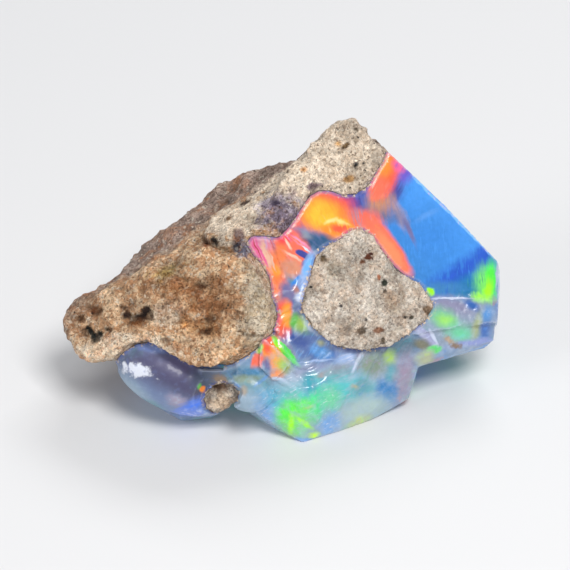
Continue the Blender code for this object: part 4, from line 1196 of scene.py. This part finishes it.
def wandering(tree, place):
    """The place, shifted by soft noise."""
    jitter = add(tree, "ShaderNodeVectorMath", {
        0: noise_value(tree, place, 1.3, 3.0, 0.5, out="Color"), 1: (0.5, 0.5, 0.5)}, operation="SUBTRACT")
    return add(tree, "ShaderNodeVectorMath", {
        0: place, 1: add(tree, "ShaderNodeVectorMath", {0: jitter, "Scale": WANDER}, operation="SCALE")},
        operation="ADD")


def paint_flashes(tree, place, colour, rows):
    """Lays every flash over the colour, in the order of the list."""
    for flash in FLASHES:
        _, across, down, wide, high, turn, soft, hue, square, fray, way, row_hue, row_share = flash
        x, up, wide, high = off_sheet(across, down, wide, high)
        inputs = {
            "Place": place, "Colour under": colour,
            "Middle": (x, up, surface_out(opal_tree, x, up)),
            "Half size": (wide, high, DEPTH + DEPTH_SHARE * max(wide, high)),
            "Turn": (0, 0, math.radians(turn)),
            "Outer edge": 1 + SOFTNESS * soft, "Inner edge": 1 - SOFTNESS * soft,
            "Rows": rows[way][0], "Fraying": fray, "Colour": srgb(*COLOURS[hue]),
            "Row mask": rows[way][1], "Row colour": srgb(*COLOURS[row_hue]), "Row share": row_share,
        }
        if square:
            inputs["Squareness"] = square
        colour = use(tree, BLOCK if square else FLASH, inputs)["Colour"]
    return colour


print("blocks among the flashes:", sum(1 for flash in FLASHES if flash[8]))

# %% [markdown]
# ## What the mesh knows
#
# Some of the look follows the shape. Thin edges of opal get a frosty painted highlight, hollows a little
# painted shade, and along the rock runs a bluish rim with crumbs of sand stuck to it, with a band of painted
# shade beside it. Cavity and edge could be found while rendering,
# but values kept with the mesh are quicker, and they are the same from every side.

# %% Helpers for values and zones
def stored_value(tree, name):
    """One of the values kept with the mesh."""
    return add(tree, "ShaderNodeAttribute", out="Fac", attribute_name=name)


def scaled(tree, colour, amount):
    """A colour made brighter or darker by a value."""
    return add(tree, "ShaderNodeVectorMath", {0: colour, "Scale": amount}, operation="SCALE")


def zone(tree, place, ragged, middle, half, soft=0.8):
    """How much a place belongs to a soft oval patch with a ragged border."""
    local = add(tree, "ShaderNodeMapping", {"Vector": place, "Location": middle, "Scale": half},
                vector_type="TEXTURE")
    away = add(tree, "ShaderNodeVectorMath", {0: local}, out="Value", operation="LENGTH")
    return fade(tree, calc(tree, "ADD", away, ragged), 1.0 + soft / 2, 1.0 - soft / 2)


kept = ("edge", "hollow", "contact", "near")
print("kept with the opal's mesh:", [name for name in kept if name in fine["opal"].data.attributes])

# %% [markdown]
# ## The opal's own colour, near its edges and the rock
#
# First milk is let into the low part of the stone, then the colour is varied a little, darkened with
# painted shade in the hollows and in a band beside the rock, and led over to the rim along the rock and to
# the frosty painted highlight of the edges.

# %% Edges, hollows and rim
# The second colour is painted shade beside the rim along the rock, the third a frosty painted highlight on
# sharp edges.
MILK, PAINTED_RIM_SHADE, PAINTED_EDGE_HIGHLIGHT = srgb(168, 190, 212), srgb(48, 72, 150), srgb(208, 218, 242)
RIM_DARK, RIM_LIGHT = srgb(84, 98, 160), srgb(170, 188, 240)
SAND_DARK, SAND_LIGHT = srgb(128, 108, 92), srgb(214, 194, 170)


def let_in_milk(tree, place, colour):
    """Clouds of milk low on the face, to the right of the lobe."""
    sides = add(tree, "ShaderNodeSeparateXYZ", {"Vector": place}).node.outputs
    low = calc(tree, "MULTIPLY", fade(tree, sides["Y"], 7.6, 5.4), fade(tree, sides["X"], -6.5, -4.0))
    milk = calc(tree, "MULTIPLY", low, fade(tree, noise_value(tree, place, 1.7, 4.0, 0.6), 0.42, 0.72))
    return blend(tree, calc(tree, "MULTIPLY", milk, 0.42), colour, MILK)


def follow_shape(tree, colour, cloud, contact):
    """Painted shade in the hollows and beside the rim along the rock, the rim, and a frosty painted highlight
    on the edges.
    """
    mottle = add(tree, "ShaderNodeMapRange", {
        "Value": cloud, "From Min": -0.2, "From Max": 0.2, "To Min": 0.92, "To Max": 1.06})
    # painted shade: the hollow value darkens the colour by up to 22 per cent
    hollow = calc(tree, "MULTIPLY", stored_value(tree, "hollow"), 0.22)
    colour = scaled(tree, colour, calc(tree, "MULTIPLY", mottle, calc(tree, "SUBTRACT", 1.0, hollow)))
    # painted shade: a darker blue band in the opal beside the rim along the rock
    shade = calc(tree, "MULTIPLY", fade(tree, contact, 0.42, 0.58), 0.4)
    colour = blend(tree, shade, colour, PAINTED_RIM_SHADE)
    rim = calc(tree, "MULTIPLY", fade(tree, contact, 0.66, 0.80), 0.8)
    colour = blend(tree, rim, colour, blend(tree, fade(tree, cloud, 0.0, 0.12), RIM_DARK, RIM_LIGHT))
    # painted highlight: sharp edges are blended towards a frosty white, less so by the rock
    frost = calc(tree, "MULTIPLY", stored_value(tree, "edge"), add(
        tree, "ShaderNodeMapRange",
        {"Value": contact, "From Min": 0.3, "From Max": 0.7, "To Min": 0.42, "To Max": 0.05}))
    return blend(tree, frost, colour, PAINTED_EDGE_HIGHLIGHT)


def sand_crust(tree, place):
    """Where sand sticks to the opal by the rock, and the colour of that sand."""
    grain = noise_value(tree, place, 3.6, 4.0, 0.7)
    crust = fade(tree, calc(tree, "ADD", stored_value(tree, "near"), grain), 1.27, 1.31)
    return crust, blend(tree, fade(tree, grain, 0.50, 0.62), SAND_DARK, SAND_LIGHT)


print("rim runs from", [round(c, 2) for c in RIM_DARK[:3]], "to", [round(c, 2) for c in RIM_LIGHT[:3]])

# %% [markdown]
# ## The opal's material
#
# Opal gathers light inside and gives it back in one hue, so a pure colour in it seems lit from within. A
# share of the colour is therefore given off as light, more where it is purer. Light that really passes
# through the stone would do this too, but it takes much longer to render. The surface is glassy with a thin
# clear coat. It is duller by the rock, where the break is rough, and satin on the lobe and the dome.

# %% Opal
OPAL_COLOUR = 0.69                        # share of the colour that the surface throws back
OPAL_GLOW = 0.35                          # and the strength of what it gives off
SATIN = 0.26                              # roughness that the satin places add
LOBE_SATIN = (-9.8, 4.0, 2.0), (4.8, 3.0, 3.5)     # middle and half size of the satin places
DOME_SATIN = (-3.8, 3.9, 2.0), (1.9, 1.8, 3.0)


def opal_material():
    material = bpy.data.materials.new("precious_opal")
    material.use_nodes = True
    tree = material.node_tree
    surface = tree.nodes["Principled BSDF"]
    place = use(tree, PLACE, {})["Place"]
    bent = wandering(tree, place)
    body = use(tree, BODY, {"Place": place})["Colour"]
    rows = row_values(tree, place)
    cloud = rows["plain"][0]
    colour = paint_flashes(tree, bent, body, rows)
    late = add(tree, "ShaderNodeVectorMath", {0: colour, 1: CHAIN, 2: place}, operation="MULTIPLY_ADD")
    colour = let_in_milk(tree, late, colour)
    contact = stored_value(tree, "contact")
    colour = follow_shape(tree, colour, cloud, contact)
    crust, sand = sand_crust(tree, late)
    bare = calc(tree, "SUBTRACT", 1.0, crust)
    satin = calc(tree, "MAXIMUM", zone(tree, late, 0.0, *LOBE_SATIN, 0.4),
                 zone(tree, late, 0.0, *DOME_SATIN, 0.4))
    put(tree, surface.inputs["Base Color"], blend(tree, crust, scaled(tree, colour, OPAL_COLOUR), sand))
    purity = add(tree, "ShaderNodeSeparateColor", {"Color": colour}, mode="HSV").node.outputs["Green"]
    glow = add(tree, "ShaderNodeMapRange", {"Value": purity, "To Min": 0.5, "To Max": 1.0})
    put(tree, surface.inputs["Emission Color"], scaled(tree, colour, calc(tree, "MULTIPLY", glow, bare)))
    surface.inputs["Emission Strength"].default_value = OPAL_GLOW
    rough = add(tree, "ShaderNodeMapRange", {
        "Value": cloud, "From Min": -0.3, "From Max": 0.3, "To Min": 0.10, "To Max": 0.26})
    dull = calc(tree, "MAXIMUM", calc(tree, "MULTIPLY", satin, SATIN), calc(
        tree, "MULTIPLY", fade(tree, contact, 0.3, 0.7), 0.45))
    put(tree, surface.inputs["Roughness"], calc(
        tree, "ADD", calc(tree, "ADD", rough, dull), calc(tree, "MULTIPLY", crust, 0.5), clamp=True))
    put(tree, surface.inputs["Coat Weight"], calc(
        tree, "MULTIPLY", bare, calc(tree, "SUBTRACT", 0.45, dull), clamp=True))
    surface.inputs["IOR"].default_value = 1.45
    surface.inputs["Coat Roughness"].default_value = 0.07
    height = calc(tree, "ADD", noise_value(tree, place, 9.0, 3.0, 0.6), calc(
        tree, "MULTIPLY", rows["across"][0], 0.5))
    put(tree, surface.inputs["Normal"], add(
        tree, "ShaderNodeBump", {"Strength": 0.3, "Distance": 0.00004, "Height": height}))
    return material


OPAL = opal_material()
print("the opal's material has", len(OPAL.node_tree.nodes), "nodes")

# %% [markdown]
# ## The rock's material
#
# Close to, the rock is sand: every grain has a colour of its own, cream, tan, rust or dark brown, with
# dark crystals of a few tenths of a millimetre between them. One group makes the sand from cells that
# each pick a colour, and each piece of rock uses it with its own values. The hollows between the grains
# get painted shade and the tops are painted lighter, from the heights kept with the mesh.

# %% Group: volcanic rock
CRYSTALS = (
    # cells in a millimetre, largest radius as a share of a cell, colour, a shift that sets each kind apart
    (1.7, 0.24, (46, 40, 38), 3.1), (3.4, 0.26, (66, 54, 46), 9.7), (0.75, 0.15, (116, 72, 50), 17.3),
    (0.95, 0.14, (48, 62, 58), 23.9),
)


def rock_group():
    group, given, out = new_group(
        "volcanic_rock",
        (
            ("Place", "Vector", None), ("Cream", "Color", None), ("Tan", "Color", None),
            ("Dark", "Color", None), ("Stain", "Color", None), ("Stained", "Float", 0.5),
            ("Crystals", "Float", 0.5), ("Relief", "Float", 0.5),
        ),
        (("Colour", "Color", None), ("Roughness", "Float", None), ("Height", "Float", None)),
    )
    place = given["Place"]
    wavy = add(group, "ShaderNodeVectorMath", {
        0: noise_value(group, place, 3.4, 2.0, out="Color"), "Scale": 0.32}, operation="SCALE")
    bent = add(group, "ShaderNodeVectorMath", {0: place, 1: wavy}, operation="ADD")
    sand = add(group, "ShaderNodeTexVoronoi", {"Vector": bent, "Scale": 5.2}).node.outputs
    dust = add(group, "ShaderNodeTexVoronoi", {"Vector": bent, "Scale": 10.5}).node.outputs
    pick = add(group, "ShaderNodeSeparateColor", {"Color": sand["Color"]}).node.outputs
    speck = add(group, "ShaderNodeSeparateColor", {"Color": dust["Color"]}).node.outputs
    clouds = noise_value(group, place, 0.5, 5.0, 0.62)
    lean = calc(group, "ADD", pick["Red"], calc(
        group, "MULTIPLY", calc(group, "SUBTRACT", clouds, 0.5), 2.6))
    colour = blend(group, fade(group, lean, 0.25, 0.75), given["Tan"], given["Cream"])
    stains = fade(group, noise_value(group, place, 0.8, 4.0, 0.6), 0.46, 0.66)
    stained = calc(group, "MULTIPLY", calc(group, "MULTIPLY", stains, given["Stained"]),
                   calc(group, "ADD", 0.45, pick["Green"]), clamp=True)
    colour = blend(group, stained, colour, given["Stain"])
    colour = blend(group, calc(group, "MULTIPLY", fade(group, pick["Blue"], 0.16, 0.08), 0.45),
                   colour, given["Dark"])
    colour = blend(group, calc(group, "MULTIPLY", fade(group, pick["Green"], 0.88, 0.96), 0.5),
                   colour, srgb(240, 230, 212))
    colour = blend(group, calc(group, "MULTIPLY", fade(group, speck["Red"], 0.12, 0.05), 0.6),
                   colour, given["Dark"])
    grit = noise_value(group, place, 5.5, 3.0, 0.7)
    tone = calc(group, "MULTIPLY", add(
        group, "ShaderNodeMapRange", {"Value": speck["Green"], "To Min": 0.86, "To Max": 1.16}), add(
        group, "ShaderNodeMapRange", {"Value": grit, "From Min": 0.3, "From Max": 0.65,
                                      "To Min": 0.72, "To Max": 1.16}))
    # Painted shade: the heights kept with the mesh darken the low places between the grains and lighten the
    # tops.
    colour = scaled(group, colour, calc(group, "MULTIPLY", tone, add(
        group, "ShaderNodeMapRange", {"Value": given["Relief"], "From Min": 0.10, "From Max": 0.78,
                                      "To Min": 0.40, "To Max": 1.20})))
    cracks = noise_value(group, bent, 1.5, 4.0, 0.6)
    crack = calc(group, "MULTIPLY", fade(group, calc(group, "ABSOLUTE", calc(
        group, "SUBTRACT", cracks, 0.5)), 0.016, 0.004), fade(group, grit, 0.50, 0.62))
    colour = blend(group, calc(group, "MULTIPLY", crack, 0.55), colour, given["Dark"])
    height = calc(group, "ADD", calc(group, "MULTIPLY", pick["Red"], 0.5), calc(
        group, "SUBTRACT", 0.6, sand["Distance"]))
    height = calc(group, "ADD", height, calc(group, "MULTIPLY", speck["Green"], 0.35))
    height = calc(group, "ADD", height, calc(group, "MULTIPLY", grit, 1.6))
    for scale, reach, hue, seed in CRYSTALS:
        moved = add(group, "ShaderNodeVectorMath", {0: bent, 1: (seed, seed, seed)}, operation="ADD")
        crystal = add(group, "ShaderNodeTexVoronoi", {"Vector": moved, "Scale": scale},
                      distance="MANHATTAN").node.outputs
        chosen = add(group, "ShaderNodeSeparateColor", {"Color": crystal["Color"]})
        size = calc(group, "MULTIPLY", calc(
            group, "SUBTRACT", calc(group, "MULTIPLY", chosen, 2.2), 1.2), given["Crystals"])
        size = calc(group, "MULTIPLY", size, 2 * reach)
        spot = fade(group, crystal["Distance"], size, calc(group, "MULTIPLY", size, 0.6))
        spot = calc(group, "MULTIPLY", spot, fade(group, size, 0.0, 0.02))
        colour = blend(group, calc(group, "MULTIPLY", spot, 0.9), colour, srgb(*hue))
        height = calc(group, "SUBTRACT", height, calc(group, "MULTIPLY", spot, 0.6))
    put(group, out.inputs["Colour"], colour)
    put(group, out.inputs["Roughness"], add(
        group, "ShaderNodeMapRange", {"Value": pick["Red"], "To Min": 0.95, "To Max": 0.62}))
    put(group, out.inputs["Height"], height)
    return group


ROCK = rock_group()
print("rock made of", len(ROCK.nodes), "nodes")

# %% [markdown]
# ## Using the rock group
#
# Every rock piece is wired alike: the group's colour is multiplied by the tints kept with the mesh, and
# along the opal the rock takes a greyish rim, broken up by its own grain.

# %% Wiring of a rock material
RIM_GREY = srgb(150, 158, 178)


def rock_material(name, choose):
    """A rock material. The values for the group come from choose, given the tree and the place."""
    material = bpy.data.materials.new(name)
    material.use_nodes = True
    tree = material.node_tree
    place = use(tree, PLACE, {})["Place"]
    values = choose(tree, place)
    surface = tree.nodes["Principled BSDF"]
    made = use(tree, ROCK, {"Place": place, "Relief": stored_value(tree, "relief"), **values})
    tint = add(tree, "ShaderNodeAttribute", out="Color", attribute_name="tint")
    colour = add(tree, "ShaderNodeVectorMath", {0: made["Colour"], 1: tint}, operation="MULTIPLY")
    rim = calc(tree, "MULTIPLY", fade(tree, calc(tree, "ADD", stored_value(tree, "contact"), calc(
        tree, "SUBTRACT", made["Height"], 1.6)), 0.75, 1.15), 0.45)
    put(tree, surface.inputs["Base Color"], blend(tree, rim, colour, RIM_GREY))
    put(tree, surface.inputs["Roughness"], made["Roughness"])
    surface.inputs["Specular IOR Level"].default_value = 0.35
    put(tree, surface.inputs["Normal"], add(
        tree, "ShaderNodeBump", {"Strength": 0.9, "Distance": 0.00012, "Height": made["Height"]}))
    return material


print("the rim's grey as linear light:", [round(c, 2) for c in RIM_GREY[:3]])

# %% [markdown]
# ## Zones of the host rock
#
# The lump on the left is brown and rusty, the band above it pale and ashy, and the rind behind greyish
# and darker, the darkening being painted shade. The pale foot under the lump and the pale edge by the opal
# are partly the rock's own colour and partly painted light, laid over places in shade.
# Beside the fan a crust of tiny crystals is bluish grey. Each zone is a soft oval whose border a little noise
# breaks up, and it changes the two colours that the grains are picked from. Zones were chosen over one big
# noise, because each part of this rock weathered in its own way.

# %% Host rock
LUMP_HUES, BAND_HUES = ((240, 206, 168), (202, 156, 116)), ((250, 232, 210), (226, 204, 180))
BANDS = (
    # middle, half size, softness
    ((0.9, 19.4, 0.5), (6.6, 4.6, 5.5), 0.3), ((-4.3, 15.2, 1.0), (3.0, 1.9, 3.0), 0.25),
)
ZONES = {
    # middle, half size, softness, and the pale and the darker colour of its grains
    # edge: partly the rock's own pale colour, partly painted light carried over a wall in shade
    "edge": ((-2.9, 9.4, 2.4), (1.5, 3.6, 4.5), 0.7, (230, 214, 190), (206, 184, 154)),
    "foot": ((-12.3, 6.4, 1.5), (4.2, 1.1, 2.5), 0.7, (240, 224, 202), (222, 196, 168)),
    # foot: partly the rock's own pale colour, partly painted light on the lump's underside, which faces away
    # from the lamps
    "patch": ((-9.3, 8.8, 3.0), (1.1, 0.8, 2.5), 0.7, (236, 212, 186), (206, 178, 150)),
    "corner": ((-1.5, 15.45, 1.0), (1.7, 1.7, 3.0), 0.4, (204, 192, 198), (150, 138, 148)),
}
DRUSE = ((-4.2, 13.15, 2.0), (0.55, 0.90, 1.5), 0.7, (176, 182, 204), (122, 126, 148))
# the rind's greyish hues, also darkened as painted shade
RIND_HUES_WITH_SHADE = ((186, 162, 148), (146, 124, 112))
UNSTAINED = ("edge", "corner")            # zones that the iron didn't reach


def host_rock_values(tree, place):
    """The colours of the host rock and how stained it is, from its zones."""
    ragged = calc(tree, "MULTIPLY", calc(
        tree, "SUBTRACT", noise_value(tree, place, 1.5, 4.0, 0.65), 0.5), 1.8)
    band = calc(tree, "MAXIMUM", *(zone(tree, place, ragged, *oval) for oval in BANDS))
    shares = {name: zone(tree, place, ragged, *oval[:3]) for name, oval in ZONES.items()}
    # painted shade: the rock turns to the darker rind hues behind the broken face
    rind = fade(tree, add(tree, "ShaderNodeSeparateXYZ", {"Vector": place}, out="Z"), 0.0, -2.2)
    druse = zone(tree, place, ragged, *DRUSE[:3])
    hues = []
    for tone in (0, 1):
        hue = blend(tree, band, srgb(*LUMP_HUES[tone]), srgb(*BAND_HUES[tone]))
        for name, oval in ZONES.items():
            hue = blend(tree, shares[name], hue, srgb(*oval[3 + tone]))
        hue = blend(tree, rind, hue, srgb(*RIND_HUES_WITH_SHADE[tone]))
        hues.append(blend(tree, druse, hue, srgb(*DRUSE[3 + tone])))
    spared = band
    for name in UNSTAINED:
        spared = calc(tree, "MAXIMUM", spared, shares[name])
    stained = calc(tree, "SUBTRACT", 0.6, calc(tree, "MULTIPLY", spared, 0.52))
    return {"Cream": hues[0], "Tan": hues[1], "Dark": srgb(96, 72, 56), "Stain": srgb(190, 126, 80),
            "Stained": stained, "Crystals": 0.6}


HOST_ROCK = rock_material("brown_host_rock", host_rock_values)
print(HOST_ROCK.name, "has", len(HOST_ROCK.node_tree.nodes), "nodes")

# %% [markdown]
# ## The island and the crumb
#
# These two are one pale rock without zones, so plain values are enough for them. The crumb is browner, and
# both keep the speckle of dark crystals.

# %% Island and crumb
def pale_rock(cream, tan, crystals):
    """Values for a pale rock with these two colours for its grains."""
    values = {
        "Cream": srgb(*cream), "Tan": srgb(*tan), "Dark": srgb(132, 118, 108),
        "Stain": srgb(tan[0] * 1.08, tan[1], tan[2] * 0.93), "Stained": 0.5, "Crystals": crystals,
    }
    return lambda tree, place: values


MATERIALS = {
    "opal": OPAL, "host_rock": HOST_ROCK,
    "rock_island": rock_material("pale_island_rock", pale_rock((230, 219, 206), (210, 193, 176), 0.5)),
    "rock_crumb": rock_material("pale_crumb_rock", pale_rock((210, 196, 180), (172, 156, 140), 0.6)),
}
print("materials:", sorted(material.name for material in MATERIALS.values()))

# %% [markdown]
# ## Putting the pieces in place
#
# Each fine piece takes over from its solid. Opal keeps crisp edges where two breaks meet; rock is shaded
# smooth, because its own grain is real shape.

# %% Pieces
NAMES = {
    "opal": "opal_stone", "host_rock": "brown_rock", "rock_island": "pale_island", "rock_crumb": "pale_crumb",
}
for node, piece in fine.items():
    piece.name = NAMES[node]
    piece.data.name = NAMES[node]
    piece.data.materials.append(MATERIALS[node])
    piece.data.shade_smooth()
    if node == "opal":
        piece.data.set_sharp_from_angle(angle=math.radians(38))
    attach(piece, "root")
    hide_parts(node)
    print(piece.name, "stands for", node)

# %% [markdown]
# ## The studio
#
# A stone is best seen on a pale, plain floor. A large soft light stands above in front, a weaker one on the
# left and a strip behind, so that the glassy breaks have something to mirror. A bare sun would be simpler,
# but it leaves hard shadows and small hot glints.

# %% Floor, lights and camera
FLOOR = 6.0                               # width of the floor, in metres
AIM = (-1.233, 10.823, 1.0)               # where the camera looks, in the face frame
DISTANCE, SPAN = 450, 39.05               # how far off it stands and how much it sees, in millimetres


def make_floor():
    """One wide plane under the stone."""
    shape = bmesh.new()
    bmesh.ops.create_grid(shape, x_segments=1, y_segments=1, size=FLOOR / 2)
    mesh = bpy.data.meshes.new("floor")
    shape.to_mesh(mesh)
    shape.free()
    floor = bpy.data.objects.new("floor", mesh)
    bpy.context.scene.collection.objects.link(floor)
    material = bpy.data.materials.new("pale_floor")
    material.use_nodes = True
    surface = material.node_tree.nodes["Principled BSDF"]
    surface.inputs["Base Color"].default_value = (0.70, 0.70, 0.71, 1)
    surface.inputs["Roughness"].default_value = 0.7
    mesh.materials.append(material)


def make_light(name, place, target, size, power, colour=(1, 1, 1)):
    light = bpy.data.lights.new(name, "AREA")
    light.shape = "RECTANGLE"
    light.size, light.size_y = size
    light.energy = power
    light.color = colour
    thing = bpy.data.objects.new(name, light)
    bpy.context.scene.collection.objects.link(thing)
    thing.location = place
    thing.rotation_euler = (Vector(target) - Vector(place)).to_track_quat("-Z", "Y").to_euler()


def make_camera(distance, span):
    """A long lens straight at the broken face, so wide that this many millimetres fill the picture."""
    aim = from_face(np.array(AIM))
    towards = TO_FACE.inverted() @ Vector((0, 0, 1))
    camera = bpy.data.cameras.new("camera")
    camera.sensor_width = 36
    camera.lens = 36 * distance / span
    camera.clip_start = 0.01
    thing = bpy.data.objects.new("camera", camera)
    bpy.context.scene.collection.objects.link(thing)
    thing.location = Vector(aim) + towards * distance / 1000
    thing.rotation_euler = (-towards).to_track_quat("-Z", "Y").to_euler()
    bpy.context.scene.camera = thing


make_floor()
middle = (0.0, 0.0, 0.008)
make_light("key_light", (0.07, -0.15, 0.26), middle, (0.12, 0.12), 0.80, (1.0, 0.99, 0.97))
make_light("fill_light", (-0.22, -0.13, 0.14), middle, (0.12, 0.12), 0.20, (0.95, 0.97, 1.0))
make_light("back_light", (0.08, 0.20, 0.22), middle, (0.20, 0.08), 0.35)
world = bpy.data.worlds.new("studio")
world.use_nodes = True
background = world.node_tree.nodes["Background"].inputs
background["Color"].default_value = (0.85, 0.88, 0.92, 1)
background["Strength"].default_value = 0.28
bpy.context.scene.world = world
bpy.context.scene.view_settings.view_transform = "Standard"
make_camera(DISTANCE, SPAN)
print("camera at", [round(c, 3) for c in bpy.context.scene.camera.location])
